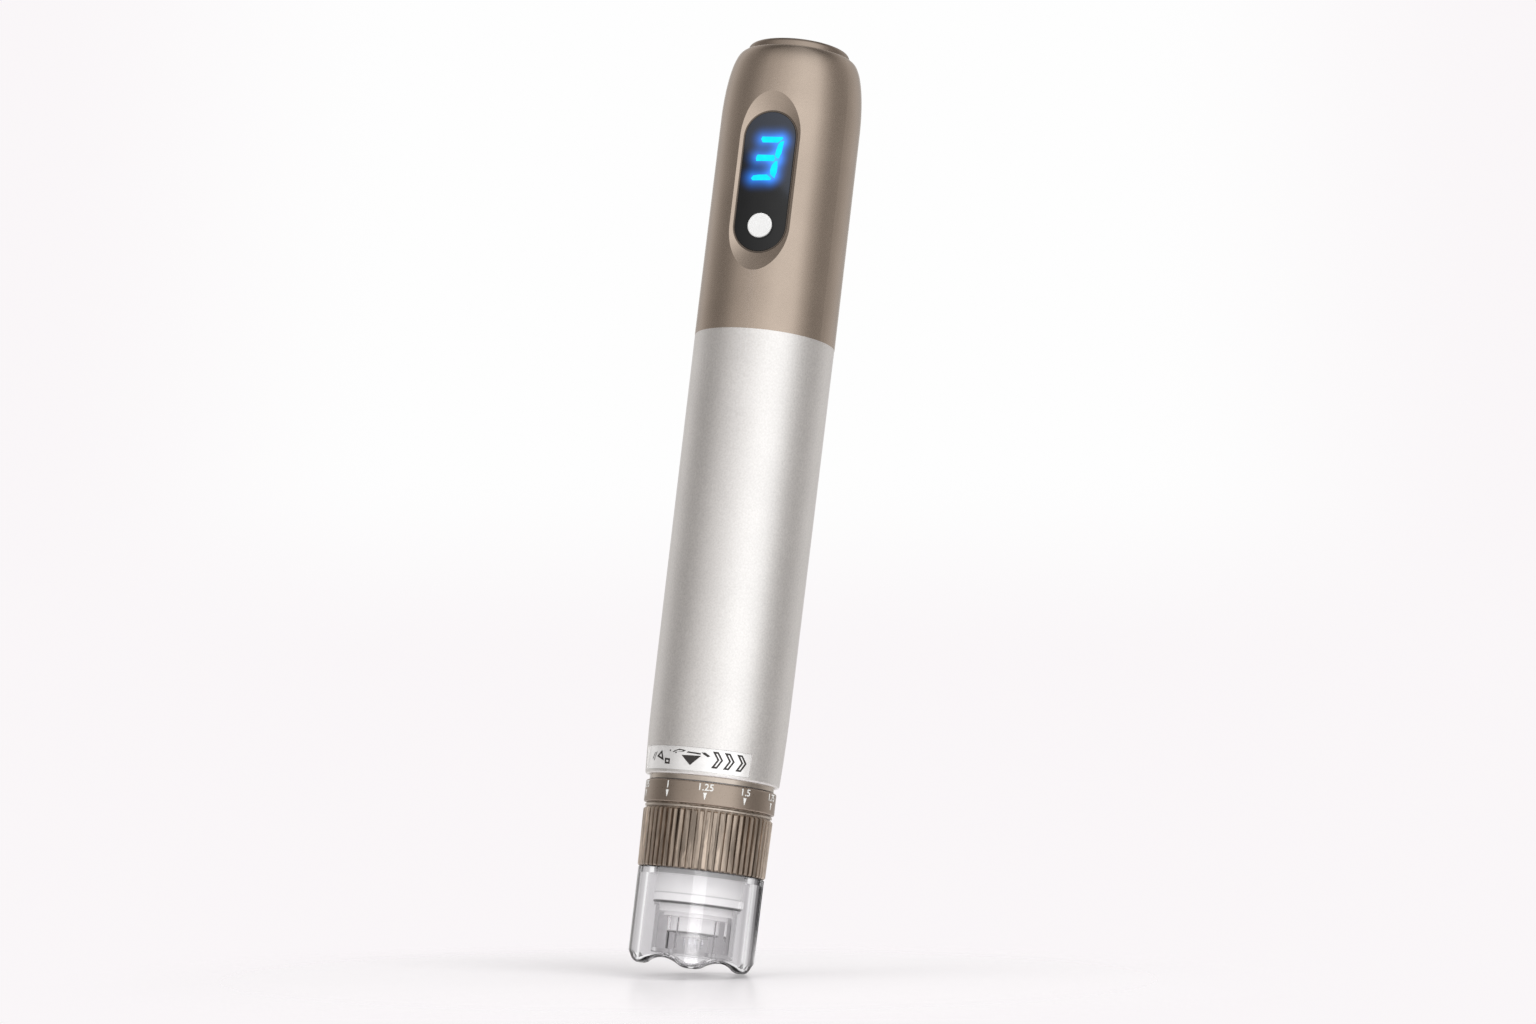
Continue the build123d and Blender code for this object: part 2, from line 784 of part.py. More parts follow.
def cartridge_nozzle():
    """Clear tip: thin skirt with a rim, floor with a round mouth, and ribs inside."""
    skirt_bore = nozzle_radius - nozzle_wall
    skirt = tube(nozzle_radius, skirt_bore, nozzle_recess, nozzle_top)
    skirt += tube(nozzle_radius + nozzle_rim_step, skirt_bore, nozzle_top - nozzle_rim_height, nozzle_top)
    skirt += tube(nozzle_radius, nozzle_mouth_radius, nozzle_recess, nozzle_recess + nozzle_floor)
    rib_inner = guide_radius + axial_gap
    rib_outer = skirt_bore + seat_gap
    middle = (rib_inner + rib_outer) / 2
    for step in range(nozzle_rib_count):
        rib = block(
            rib_outer - rib_inner,
            nozzle_rib_thickness,
            nozzle_recess + nozzle_floor,
            nozzle_recess + nozzle_floor + nozzle_rib_length,
            x=middle,
        )
        skirt += Rot(0, 0, 360 / nozzle_rib_count * (step + 1 / 2)) * rib
    return fillet(lowest_rim(skirt), nozzle_wall / 2)


def needle_guide():
    """White tube that the needle plate slides in, flanged under the body."""
    return turned(
        (guide_bore, guide_bottom),
        (guide_radius, guide_bottom),
        (guide_radius, plug_bottom - guide_flange),
        (guide_flange_radius, plug_bottom - guide_flange),
        (guide_flange_radius, plug_bottom),
        (guide_bore, plug_bottom),
    )


def needle_plate():
    """Round plate that the needles stand in."""
    return post(plate_radius, plate_bottom, plate_bottom + plate_thickness)


def needles():
    """Two rings of fine needles with conical points."""
    solids = []
    shaft_bottom = needle_tip + needle_point
    for count, share in ((inner_needle_count, inner_ring_share), (outer_needle_count, outer_ring_share)):
        for step in range(count):
            point = Pos(0, 0, needle_tip + needle_point / 2) * Cone(needle_radius / 8, needle_radius, needle_point)
            needle = point + post(needle_radius, shaft_bottom, plate_bottom)
            solids.append(Rot(0, 0, 360 / count * step) * Pos(plate_radius * share, 0, 0) * needle)
    return Compound(children=solids)


def needle_plunger():
    """Stem on the needle plate with a round head that the rod pushes."""
    return turned(
        (0, plate_bottom + plate_thickness),
        (stem_radius, plate_bottom + plate_thickness),
        (stem_radius, plunger_underside),
        (plunger_head_radius, plunger_underside),
        (plunger_head_radius, plunger_top),
        (0, plunger_top),
    )


def needle_spring():
    """Return spring between the cartridge's floor and the plunger's head."""
    return coil(needle_spring_radius, needle_spring_wire, needle_spring_turn_count, floor_top, plunger_underside)


def push_rod():
    """Rod with a head, an ear against turning and a round-nosed follower."""
    rod = post(rod_radius, rod_tip, head_underside)
    rod += post(rod_head_radius, head_underside, head_top)
    rod += block(rod_ear_width, rod_ear_reach, head_underside, head_top, y=rod_ear_reach / 2)
    follower = post(follower_radius, head_underside, follower_top)
    follower = fillet(follower.edges().group_by(Axis.Z)[-1], follower_radius / 2)
    return rod + Pos(follower_offset, 0, 0) * follower


def rod_bush():
    """Flanged bush in the nose tube's web."""
    bore = rod_radius + running_gap
    return turned(
        (bore, web_bottom),
        (bush_radius - seat_gap, web_bottom),
        (bush_radius - seat_gap, web_top),
        (bush_flange_radius, web_top),
        (bush_flange_radius, bush_flange_top),
        (bush_neck_radius, bush_flange_top),
        (bush_neck_radius, bush_flange_top + bush_neck),
        (bore, bush_flange_top + bush_neck),
    )


def rod_spring():
    """Return spring between the bush's flange and the rod's head."""
    return coil(rod_spring_radius, rod_spring_wire, rod_spring_turn_count, bush_flange_top, head_underside)


def drive_cam():
    """Drum with a slanted lower face, on a hub."""
    drum = post(cam_radius, cam_low, cam_top) + post(cam_hub_radius, cam_top, hub_top)
    size = 4 * cam_radius
    tilt = Plane(origin=(0, 0, cam_centre), x_dir=(1, 0, cam_slope), z_dir=(-cam_slope, 0, 1))
    drum -= extrude(tilt * Rectangle(size, size), -size)
    return drum - post(shaft_radius, cam_low - overrun, hub_top + overrun)


def motor_shaft():
    """Steel shaft from the cam into the motor."""
    return post(shaft_radius, cam_centre + cam_slope * shaft_radius, motor_bottom + shaft_depth)


def drive_sleeve():
    """Short tube that keeps the motor's mount off the nose tube."""
    return tube(flange_radius, flange_radius - sleeve_wall, nose_top, mount_bottom)


def motor_mount():
    """Round plate with a hole for the motor's boss and two screw holes."""
    plate = tube(flange_radius, motor_boss_radius + seat_gap, mount_bottom, motor_bottom)
    for x in (-motor_screw_offset, motor_screw_offset):
        plate -= Pos(x, 0, 0) * post(screw_radius + seat_gap, mount_bottom - overrun, motor_bottom + overrun)
    return plate


def motor_screws():
    """Two pan-head screws through the mount into the motor."""
    screws = []
    head_bottom = mount_bottom - screw_head * 0.7
    for x in (-motor_screw_offset, motor_screw_offset):
        head = post(screw_head_radius, head_bottom, mount_bottom)
        shank = post(screw_radius, mount_bottom, motor_bottom + screw_depth)
        screws.append(Pos(x, 0, 0) * (head + shank))
    return Compound(children=screws)


def motor_can():
    """Round motor with a front boss, a shaft bore and two tapped holes."""
    can = post(motor_radius, motor_bottom, motor_top)
    can += post(motor_boss_radius, mount_bottom, motor_bottom)
    can -= post(shaft_radius + running_gap, mount_bottom - overrun, motor_bottom + shaft_depth + axial_gap)
    for x in (-motor_screw_offset, motor_screw_offset):
        hole = post(screw_radius + seat_gap, motor_bottom - overrun, motor_bottom + screw_depth + axial_gap)
        can -= Pos(x, 0, 0) * (hole - post(motor_boss_radius, mount_bottom - overrun, motor_bottom))
    return can


def motor_end_bell():
    """Plastic end of the motor with two terminals."""
    bell = post(bell_radius, motor_top, bell_top)
    width, depth, height = terminal_size
    for x in (-terminal_offset, terminal_offset):
        bell += block(width, depth, bell_top, bell_top + height, x=x)
    return bell


def motor_dampers():
    """Two rubber rings that seat the motor in the barrel."""
    rings = []
    for bottom in (motor_bottom + damper_inset, motor_top - damper_inset - damper_length):
        rings.append(tube(flange_radius, motor_radius, bottom, bottom + damper_length))
    return Compound(children=rings)


def inner_chassis():
    """Open cradle for the cell, with a deck above it for the boards."""
    cradle = tube(chassis_radius, chassis_radius - chassis_wall, chassis_bottom, chassis_top)
    cradle += post(chassis_radius, chassis_bottom, chassis_bottom + chassis_floor)
    cradle += post(chassis_radius, chassis_top - chassis_floor, chassis_top)
    opening = Plane.XZ * Pos(
        chassis_radius,
        (chassis_bottom + chassis_top) / 2,
    )
    opening = opening * Rectangle(2 * chassis_wall + seat_gap, chassis_top - chassis_bottom - 2 * chassis_floor)
    start = -90 - chassis_window_angle / 2
    cradle -= Rot(0, 0, start) * revolve(opening, Axis.Z, revolution_arc=chassis_window_angle)
    deck_y = -(board_back - deck_thickness / 2)
    cradle += block(deck_width, deck_thickness, chassis_top - chassis_floor, deck_top, y=deck_y)
    for screw_height in board_screw_heights():
        cradle -= front_round(screw_radius, board_back - deck_thickness - overrun, board_back, screw_height)
    return cradle


def battery_cell():
    """Round lithium cell with its raised end."""
    cell = post(cell_radius, cell_bottom, cell_top - cell_nub)
    return cell + post(cell_nub_radius, cell_top - cell_nub, cell_top)


def cell_tabs():
    """Flat metal tabs on the cell's two ends."""
    length = cell_radius
    low = block(tab_width, length, cell_bottom - tab_thickness, cell_bottom)
    high = block(tab_width, length, cell_top, cell_top + tab_thickness)
    return Compound(children=[low, high])


def board_screw_heights():
    """Heights of the two screws that hold the control board."""
    return board_bottom + board_screw_border, board_top - board_screw_border


def control_board():
    """Circuit board with its controller chip and two screw holes."""
    middle = (board_bottom + board_top) / 2
    board = front_block(board_width, board_top - board_bottom, board_back, board_front, middle)
    for screw_height in board_screw_heights():
        board -= front_round(screw_radius + seat_gap, board_back - overrun, board_front + overrun, screw_height)
    chip_centre = button_height + above_button * chip_centre_share
    chip_length = above_button * chip_length_share
    return board + front_block(chip_width, chip_length, board_front, board_front + chip_depth, chip_centre)


def board_screws():
    """Two pan-head screws through the board into the deck."""
    screws = []
    for screw_height in board_screw_heights():
        head = front_round(screw_head_radius, board_front, board_front + screw_head, screw_height)
        shank = front_round(screw_radius, board_back - deck_thickness, board_front, screw_height)
        screws.append(head + shank)
    return Compound(children=screws)


def display_module():
    """Block of the lit digit, behind the window."""
    centre = button_height + above_button * display_centre_share
    length = above_button * display_length_share
    width = window_width - 2 * display_side
    return front_block(width, length, board_front, board_front + display_depth, centre)


def charge_board():
    """Round board under the cap that carries the charging socket."""
    return post(chassis_radius - charge_board_border, deck_top, charge_board_top)


def charge_socket():
    """Rounded metal shell, open at the top, with a tongue inside."""
    top = charge_board_top + socket_length
    outline = SlotOverall(socket_width, socket_height)
    hollow = SlotOverall(socket_width - 2 * socket_wall, socket_height - 2 * socket_wall)
    shell = Pos(0, 0, charge_board_top) * extrude(outline, socket_length)
    shell -= Pos(0, 0, charge_board_top + socket_base) * extrude(hollow, socket_length)
    width, thickness, length = socket_tongue
    tongue_bottom = charge_board_top + socket_base
    tongue = block(width, thickness, tongue_bottom, tongue_bottom + length)
    return shell + tongue & post(cap_radius, charge_board_top, top)


def top_cap():
    """Raised cap with rounded edge, a skirt, and the slot of the charging socket."""
    skirt_bottom = housing_top - cap_depth + cap_rise
    cap = post(cap_radius, skirt_bottom, pen_top)
    cap = fillet(cap.edges().group_by(Axis.Z)[-1], cap_edge_round)
    cap -= post(cap_radius - cap_skirt_wall, skirt_bottom - overrun, pen_top - cap_plate)
    port = SlotOverall(socket_width + 2 * port_border, socket_height + 2 * port_border)
    return cap - Pos(0, 0, skirt_bottom) * extrude(port, cap_depth + overrun)


def joint_seal():
    """O-ring between the housing's spigot and the barrel."""
    return seal(barrel_bore_radius - seal_wire, seal_wire, joint_height - spigot_length / 2)


def cap_seal():
    """O-ring round the cap's skirt, under the housing's roof."""
    height = housing_top - housing_roof - cap_seal_wire
    return seal(cap_radius + cap_seal_wire, cap_seal_wire, height)


def rim_cutter():
    """Everything below one valley of the rim: flat, hollow arc, crest arc, and back."""
    half = valley_share * pi * guard_bore / lobe_count
    both_radii = (half * half + valley_depth * valley_depth) / (2 * valley_depth)
    crest_radius = both_radii - lobe_blend
    meet_x = half * crest_radius / both_radii
    meet_height = valley_depth - crest_radius + crest_radius * (both_radii - valley_depth) / both_radii
    rise = TangentArc((-half, 0), (-meet_x, meet_height), tangent=(1, 0))
    crest = TangentArc(rise @ 1, (meet_x, meet_height), tangent=rise % 1)
    fall = TangentArc(crest @ 1, (half, 0), tangent=crest % 1)
    side = half + lobe_blend / 2
    below = Polyline((half, 0), (side, 0), (side, -2 * overrun), (-side, -2 * overrun), (-side, 0), (-half, 0))
    plane = Plane(origin=(0, 0, 0), x_dir=(0, 1, 0), z_dir=(1, 0, 0))
    return extrude(plane * make_face([rise, crest, fall, below]), guard_rim_radius + overrun)


def rim_edges(shape, radius):
    """The wavy edges of the guard's rim that lie at one radius."""
    found = []
    for edge in shape.edges():
        middle = edge.position_at(1 / 2)
        off = abs(sqrt(middle.X * middle.X + middle.Y * middle.Y) - radius)
        straight = edge.geom_type == GeomType.LINE
        if off < guard_rim_round / 2 and middle.Z < valley_depth + seat_gap and not straight:
            found.append(edge)
    return found


def clear_guard():
    """Thick clear tube with a scalloped rim and a spigot for the nose tube."""
    spigot_radius = nose_bore - running_gap
    spigot_top = guard_length + guard_spigot_length
    body = turned(
        (guard_bore, -overrun),
        (guard_rim_radius, -overrun),
        (guard_rim_radius, 0),
        (guard_top_radius, guard_length),
        (spigot_radius, guard_length),
        (spigot_radius, spigot_top),
        (spigot_radius - guard_spigot_wall, spigot_top),
        (spigot_radius - guard_spigot_wall, guard_length - guard_roof),
        (guard_bore, guard_length - guard_roof),
    )
    cutter = rim_cutter()
    for step in range(lobe_count):
        azimuth = lobe_azimuth + 360 / lobe_count * (step + 1 / 2)
        body -= Rot(0, 0, azimuth - 90) * cutter
    body = fillet(rim_edges(body, guard_rim_radius), guard_rim_round)
    return fillet(rim_edges(body, guard_bore), guard_rim_round)


PARTS = {
    "upper_housing": upper_housing,
    "top_cap": top_cap,
    "cap_seal": cap_seal,
    "joint_seal": joint_seal,
    "display_window": display_window,
    "button_bezel": button_bezel,
    "power_button": power_button,
    "switch_plunger": switch_plunger,
    "button_switch": button_switch,
    "barrel": barrel,
    "marker_band": marker_band,
    "neck_ring": neck_ring,
    "nose_tube": nose_tube,
    "knurled_collar": knurled_collar,
    "scale_ring": scale_ring,
    "bead_ring": bead_ring,
    "retaining_ring": retaining_ring,
    "cartridge_carrier": cartridge_carrier,
    "guide_pins": guide_pins,
    "cartridge_body": cartridge_body,
    "cartridge_ring": cartridge_ring,
    "cartridge_nozzle": cartridge_nozzle,
    "needle_guide": needle_guide,
    "needle_plate": needle_plate,
    "needles": needles,
    "needle_plunger": needle_plunger,
    "needle_spring": needle_spring,
    "push_rod": push_rod,
    "rod_bush": rod_bush,
    "rod_spring": rod_spring,
    "drive_cam": drive_cam,
    "motor_shaft": motor_shaft,
    "drive_sleeve": drive_sleeve,
    "motor_mount": motor_mount,
    "motor_screws": motor_screws,
    "motor_can": motor_can,
    "motor_end_bell": motor_end_bell,
    "motor_dampers": motor_dampers,
    "inner_chassis": inner_chassis,
    "battery_cell": battery_cell,
    "cell_tabs": cell_tabs,
    "control_board": control_board,
    "board_screws": board_screws,
    "display_module": display_module,
    "charge_board": charge_board,
    "charge_socket": charge_socket,
    "clear_guard": clear_guard,
}

os.makedirs("parts", exist_ok=True)
for name, make in PARTS.items():
    export_step(make(), f"parts/{name}.step")
    print("made", name)
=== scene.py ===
# %% [markdown]
# # A cordless microneedling pen in Blender
#
# The metal shells, the clear guard and the needle cartridge are already modelled as solids.
# This lesson gives them their finishes, adds the thin things that a solid leaves out (the lit
# digit, the depth scale, the marks on the polished band), winds the two return springs as coils,
# and sets up the light and the camera.
#
# Everything is in metres, and the pen stands on the origin with its display facing -Y. Small
# sizes are written in millimetres and multiplied by MM.

# %% Load the solids
import json
from math import cos, degrees, pi, radians, sin

import bpy
from mathutils import Matrix, Vector


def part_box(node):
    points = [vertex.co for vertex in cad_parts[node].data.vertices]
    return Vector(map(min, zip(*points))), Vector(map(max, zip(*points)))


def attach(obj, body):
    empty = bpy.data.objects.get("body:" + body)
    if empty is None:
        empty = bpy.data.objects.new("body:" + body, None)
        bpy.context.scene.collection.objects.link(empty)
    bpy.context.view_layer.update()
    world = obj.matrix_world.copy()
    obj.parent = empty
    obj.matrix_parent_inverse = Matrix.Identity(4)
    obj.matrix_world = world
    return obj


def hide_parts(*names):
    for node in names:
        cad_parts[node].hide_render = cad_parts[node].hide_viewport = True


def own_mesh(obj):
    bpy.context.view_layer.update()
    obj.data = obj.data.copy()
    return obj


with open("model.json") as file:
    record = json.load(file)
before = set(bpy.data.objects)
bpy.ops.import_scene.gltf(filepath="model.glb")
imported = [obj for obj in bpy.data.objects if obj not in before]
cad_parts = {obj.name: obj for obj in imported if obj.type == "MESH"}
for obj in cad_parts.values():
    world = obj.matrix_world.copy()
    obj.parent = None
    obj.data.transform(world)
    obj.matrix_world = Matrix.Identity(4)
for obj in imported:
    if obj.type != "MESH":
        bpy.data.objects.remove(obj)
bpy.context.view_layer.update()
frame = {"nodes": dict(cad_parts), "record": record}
nodes = frame["nodes"]
scene = bpy.context.scene
MM = 0.001

# %% [markdown]
# ## The camera
#
# The pen was photographed with a long lens, from a little to the right of its display and from
# a little below its middle, and it leans to the right in the picture. There are two ways to get
# a leaning pen: tip the pen, or roll the camera. The solids must stay where they are, so the
# camera rolls.

# %% Make the camera
camera_azimuth = radians(17)
camera_elevation = radians(-8.5)
camera_roll = radians(6.77)
camera_distance = 650 * MM
camera_target = Vector((4.2 * MM, 1.28 * MM, 85.89 * MM))
nearest_seen, farthest_seen = 10 * MM, 20
# Blender counts these two in millimetres, whatever the scene's unit is.
camera_lens = 81.2
film_width = 36


def towards(azimuth, elevation):
    """Unit vector from the pen towards an azimuth, counted from -Y, and an elevation."""
    flat = cos(elevation)
    return Vector((sin(azimuth) * flat, -cos(azimuth) * flat, sin(elevation)))


def deselect_all():
    """Leaves edit mode with nothing selected."""
    if bpy.context.object and bpy.context.object.mode != "OBJECT":
        bpy.ops.object.mode_set(mode="OBJECT")
    bpy.ops.object.select_all(action="DESELECT")


camera_back = towards(camera_azimuth, camera_elevation)
level_right = Vector((cos(camera_azimuth), sin(camera_azimuth), 0))
level_up = camera_back.cross(level_right)
camera_right = cos(camera_roll) * level_right + sin(camera_roll) * level_up
camera_up = cos(camera_roll) * level_up - sin(camera_roll) * level_right
camera_place = camera_target + camera_back * camera_distance

deselect_all()
bpy.ops.object.camera_add()
camera = bpy.context.object
camera.name = "photo_camera"
turn = Matrix((camera_right, camera_up, camera_back)).transposed()
camera.matrix_world = Matrix.Translation(camera_place) @ turn.to_4x4()
camera.data.lens = camera_lens
camera.data.sensor_width = film_width
camera.data.clip_start = nearest_seen
camera.data.clip_end = farthest_seen
scene.camera = camera
scene.view_settings.view_transform = "Standard"
print("camera stands", round(camera_distance / MM), "mm away")

# %% [markdown]
# ## The studio: background and lamps
#
# Satin metal looks like whatever stands around it, so the studio matters as much as the metal.
# The photograph has a white background that is a touch whiter right behind the pen. The
# background is white only for the camera and for what glass and metal show: matte things get a
# plain, even light, and three soft lamps do the rest.
#
# A finish or a background is a tree of nodes, which takes many lines when every node and link is
# written out. A few helpers make a node, set its sockets and link it in one call.

# %% Helpers for node trees
def add_node(tree, kind, inputs=None, **settings):
    """A new node with its settings, and its sockets set or linked."""
    made = tree.nodes.new(kind)
    for name, value in settings.items():
        setattr(made, name, value)
    for key, value in (inputs or {}).items():
        if isinstance(value, bpy.types.NodeSocket):
            tree.links.new(value, made.inputs[key])
        else:
            made.inputs[key].default_value = value
    return made


def math_node(tree, operation, *values):
    """The output of a Math node."""
    return add_node(tree, "ShaderNodeMath", dict(enumerate(values)), operation=operation).outputs[0]


def vector_node(tree, operation, *values):
    """The outputs of a Vector Math node."""
    return add_node(tree, "ShaderNodeVectorMath", dict(enumerate(values)), operation=operation).outputs


print("node helpers are ready in Blender", bpy.app.version_string)


# %% Helpers that fade and mix
def faded(tree, value, start, end, low, high=1):
    """A soft step from high to low while the value goes from start to end."""
    inputs = {"Value": value, "From Min": start, "From Max": end, "To Min": high, "To Max": low}
    return add_node(tree, "ShaderNodeMapRange", inputs, interpolation_type="SMOOTHSTEP").outputs[0]


def mixed_colour(tree, share, first, second):
    """The first colour where the share is 0 and the second where it is 1."""
    inputs = {"Factor": share, 6: first, 7: second}
    return add_node(tree, "ShaderNodeMix", inputs, data_type="RGBA").outputs[2]


def mixed_shader(tree, share, first, second):
    """The first shader where the share is 0 and the second where it is 1."""
    return add_node(tree, "ShaderNodeMixShader", {0: share, 1: first, 2: second}).outputs[0]


# %% Light the background and the matte things
background_white = (0.955, 0.925, 0.94, 1)
brightest_white = (0.991, 0.991, 0.991, 1)
matte_light = 0.66
# the whiter zone behind the pen, in metres aside and above for each metre ahead
white_half, pale_half = 0.1, 0.22
white_above, pale_below = 0.015, -0.045
# a heading is ahead of the camera when its cosine with the view is over this
front_only = 0.9

world = bpy.data.worlds.new("white_studio")
scene.world = world
world.use_nodes = True
sky = world.node_tree
sky.nodes.clear()
ray = sky.nodes.new("ShaderNodeLightPath").outputs
seen = math_node(sky, "MAXIMUM", ray["Is Camera Ray"], ray["Is Glossy Ray"])
seen = math_node(sky, "MAXIMUM", seen, ray["Is Transmission Ray"])
heading = add_node(sky, "ShaderNodeTexCoord").outputs["Generated"]
ahead = vector_node(sky, "DOT_PRODUCT", heading, tuple(-camera_back))["Value"]


def in_picture(direction):
    """How far a heading points along a direction of the picture, for each metre ahead."""
    along = vector_node(sky, "DOT_PRODUCT", heading, tuple(direction))["Value"]
    return math_node(sky, "DIVIDE", along, ahead)


aside = math_node(sky, "ABSOLUTE", in_picture(camera_right))
near_middle = faded(sky, aside, white_half, pale_half, 0)
high_enough = faded(sky, in_picture(camera_up), pale_below, white_above, 1, 0)
whiter = math_node(sky, "MULTIPLY", near_middle, high_enough)
whiter = math_node(sky, "MULTIPLY", whiter, math_node(sky, "GREATER_THAN", ahead, front_only))
shown = mixed_colour(sky, whiter, background_white, brightest_white)
matte_part = add_node(sky, "ShaderNodeBackground", {"Color": (1, 1, 1, 1), "Strength": matte_light})
shown_part = add_node(sky, "ShaderNodeBackground", {"Color": shown, "Strength": 1})
both = mixed_shader(sky, seen, matte_part.outputs[0], shown_part.outputs[0])
sky.links.new(both, sky.nodes.new("ShaderNodeOutputWorld").inputs["Surface"])
print("background:", len(sky.nodes), "nodes")

# %% Hang the lamps
lamp_aim = Vector((0, 0, 80 * MM))
# (name, azimuth and elevation in degrees, metres away, metres across, watts)
lamps = (
    ("key_lamp", 48, 42, 0.9, 0.5, 3.0),
    ("fill_lamp", -50, 25, 1.0, 0.7, 1.4),
    ("front_lamp", 17, -5, 1.0, 0.5, 2.8),
)


def soft_lamp(name, azimuth, elevation, distance, size, watts):
    """A square area lamp aimed at the middle of the pen, left out of reflections."""
    place = lamp_aim + towards(radians(azimuth), radians(elevation)) * distance
    deselect_all()
    bpy.ops.object.light_add(type="AREA", location=place)
    lamp = bpy.context.object
    lamp.name = name
    lamp.data.size = size
    lamp.data.energy = watts
    lamp.rotation_mode = "QUATERNION"
    lamp.rotation_quaternion = (place - lamp_aim).to_track_quat("Z", "Y")
    lamp.visible_glossy = False


for lamp_values in lamps:
    soft_lamp(*lamp_values)

# %% [markdown]
# ## The reflection dome
#
# What metal mirrors could come from cards and soft boxes stood round the pen, but a dome with
# painted tones is quicker to match, because one row of tones gives the whole way round. It has
# a broad bright zone to the right of the camera and grey zones at both sides, and only
# reflections and refractions see it.
#
# Clear walls bend the view to other places of the dome than metal mirrors, so they have rows of
# their own. The Light Path node counts the surfaces that a ray has passed through. Up to two,
# it came through a wall beside the bore. From three on it crossed the bore, and from five on it
# crossed the tip inside as well. Steep rays see a dark dome, which draws the guard's rounded
# rim, and perfectly sharp reflections see it dark at the right, which draws its right edge.

# %% Choose the tones of the dome
# (degrees from the camera, brightness): positive is to the camera's right.
mirrored_tones = (
    (-180, 1.0), (-170, 1.0), (-160, 0.52), (-135, 0.65),
    (-112, 0.38), (-92, 0.26), (-74, 0.32), (-58, 0.54), (-30, 0.72), (-6, 0.97),
    (8, 1.12), (40, 1.1), (56, 0.6), (74, 0.32), (96, 0.33),
    (116, 0.53), (135, 0.62), (160, 0.5), (170, 1.0), (180, 1.0),
)
wall_tones = (
    (-180, 0.9), (-178.5, 0.9), (-177, 0.05), (-170, 0.06), (-166, 0.32), (-162, 0.5),
    (-146, 0.57), (-137, 0.62), (-131, 0.95), (-120, 0.95), (-90, 0.6), (-50, 0.7),
    (0, 0.9), (60, 0.8), (110, 0.8), (126, 0.85), (133, 0.76), (140, 0.56), (150, 0.36),
    (160, 0.12), (168, 0.02), (176, 0.0), (179.4, 0.0), (179.8, 0.9), (180, 0.9),
)
bore_tones = (
    (-180, 0.8), (-168, 0.72), (-160, 0.66), (-152, 0.66), (-143, 0.62), (-136, 0.75),
    (-130, 0.95), (-118, 0.9), (-110, 0.5), (-90, 0.35), (-50, 0.6),
    (0, 0.8), (22, 1.0), (50, 1.0), (75, 0.6), (95, 0.4), (112, 0.55), (127, 0.7),
    (140, 0.88), (152, 1.08), (157, 0.62), (162, 0.5), (168, 0.7), (180, 0.8),
)
# what dark tones lean to: warm in metal, a faint rose in clear plastic
metal_tint = (1.0, 0.935, 0.885)
clear_tint = (1.0, 0.955, 0.99)
print("tones:", len(mirrored_tones), len(wall_tones), len(bore_tones))


# %% Helpers for painted materials
def empty_material(name):
    """A node material with nothing in it but its output."""
    made = bpy.data.materials.new(name)
    made.use_nodes = True
    made.node_tree.nodes.clear()
    output = made.node_tree.nodes.new("ShaderNodeOutputMaterial")
    return made, made.node_tree, output


def split(tree, place):
    """The X, Y and Z outputs of a place."""
    return add_node(tree, "ShaderNodeSeparateXYZ", {0: place}).outputs


def ramp_node(tree, factor, stops):
    """The colour of a ramp with (position, colour) stops."""
    made = add_node(tree, "ShaderNodeValToRGB", {"Fac": factor})
    elements = made.color_ramp.elements
    while len(elements) < len(stops):
        elements.new(1)
    for element, (position, colour) in zip(elements, stops):
        element.position = position
        element.color = (*colour, 1)
    return made.outputs["Color"]


def shining(tree, colour, strength=1):
    """A shader that gives off light of a colour."""
    return add_node(tree, "ShaderNodeEmission", {"Color": colour, "Strength": strength}).outputs[0]


# %% Add the dome and find its angles
dome_radius = 1.6
deselect_all()
bpy.ops.mesh.primitive_uv_sphere_add(segments=48, ring_count=24, radius=dome_radius, location=(0, 0, 0))
dome = bpy.context.object
dome.name = "reflection_dome"
bpy.ops.object.shade_smooth()

dome_paint, tree, output = empty_material("dome_paint")
spot = add_node(tree, "ShaderNodeTexCoord").outputs["Object"]
axes = split(tree, vector_node(tree, "NORMALIZE", spot)["Vector"])
azimuth = math_node(tree, "ARCTAN2", axes["X"], math_node(tree, "MULTIPLY", axes["Y"], -1))
from_camera = math_node(tree, "WRAP", math_node(tree, "SUBTRACT", azimuth, camera_azimuth), pi, -pi)
way_round = math_node(tree, "MULTIPLY_ADD", from_camera, 1 / (2 * pi), 0.5)
elevation = math_node(tree, "ARCSINE", axes["Z"])
ray = tree.nodes.new("ShaderNodeLightPath").outputs


def painted(tones, tint):
    """The colour round the dome from a row of tones, each as a share of the row's brightest."""
    peak = max(tone for angle, tone in tones)
    stops = []
    for angle, tone in tones:
        grey = tone / peak
        colour = tuple(grey * (part + (1 - part) * grey) for part in tint)
        stops.append(((angle + 180) / 360, colour))
    return ramp_node(tree, way_round, stops)


print("dome:", len(dome.data.polygons), "faces,", dome_radius, "m in radius")

# %% Paint what metal mirrors
upper_shade = 0.45
upper_from, upper_to = radians(42), radians(68)
edge_shade = 0.01
edge_from, edge_to = radians(90), radians(112)
mirrored_peak = max(tone for angle, tone in mirrored_tones)

mirrored = painted(mirrored_tones, metal_tint)
shade = faded(tree, elevation, upper_from, upper_to, upper_shade)
sharp_side = math_node(tree, "MULTIPLY", from_camera, ray["Is Singular Ray"])
shade = math_node(tree, "MULTIPLY", shade, faded(tree, sharp_side, edge_from, edge_to, edge_shade))
mirrored_glow = shining(tree, mirrored, math_node(tree, "MULTIPLY", shade, mirrored_peak))
print("brightest tone that metal mirrors:", mirrored_peak)

# %% Paint what clear walls bend
past_wall = 2.5
past_bore, past_tip = 4, 5
tip_shade = 0.66
steep_shade = 0.06
steep_from, steep_to = radians(22), radians(48)

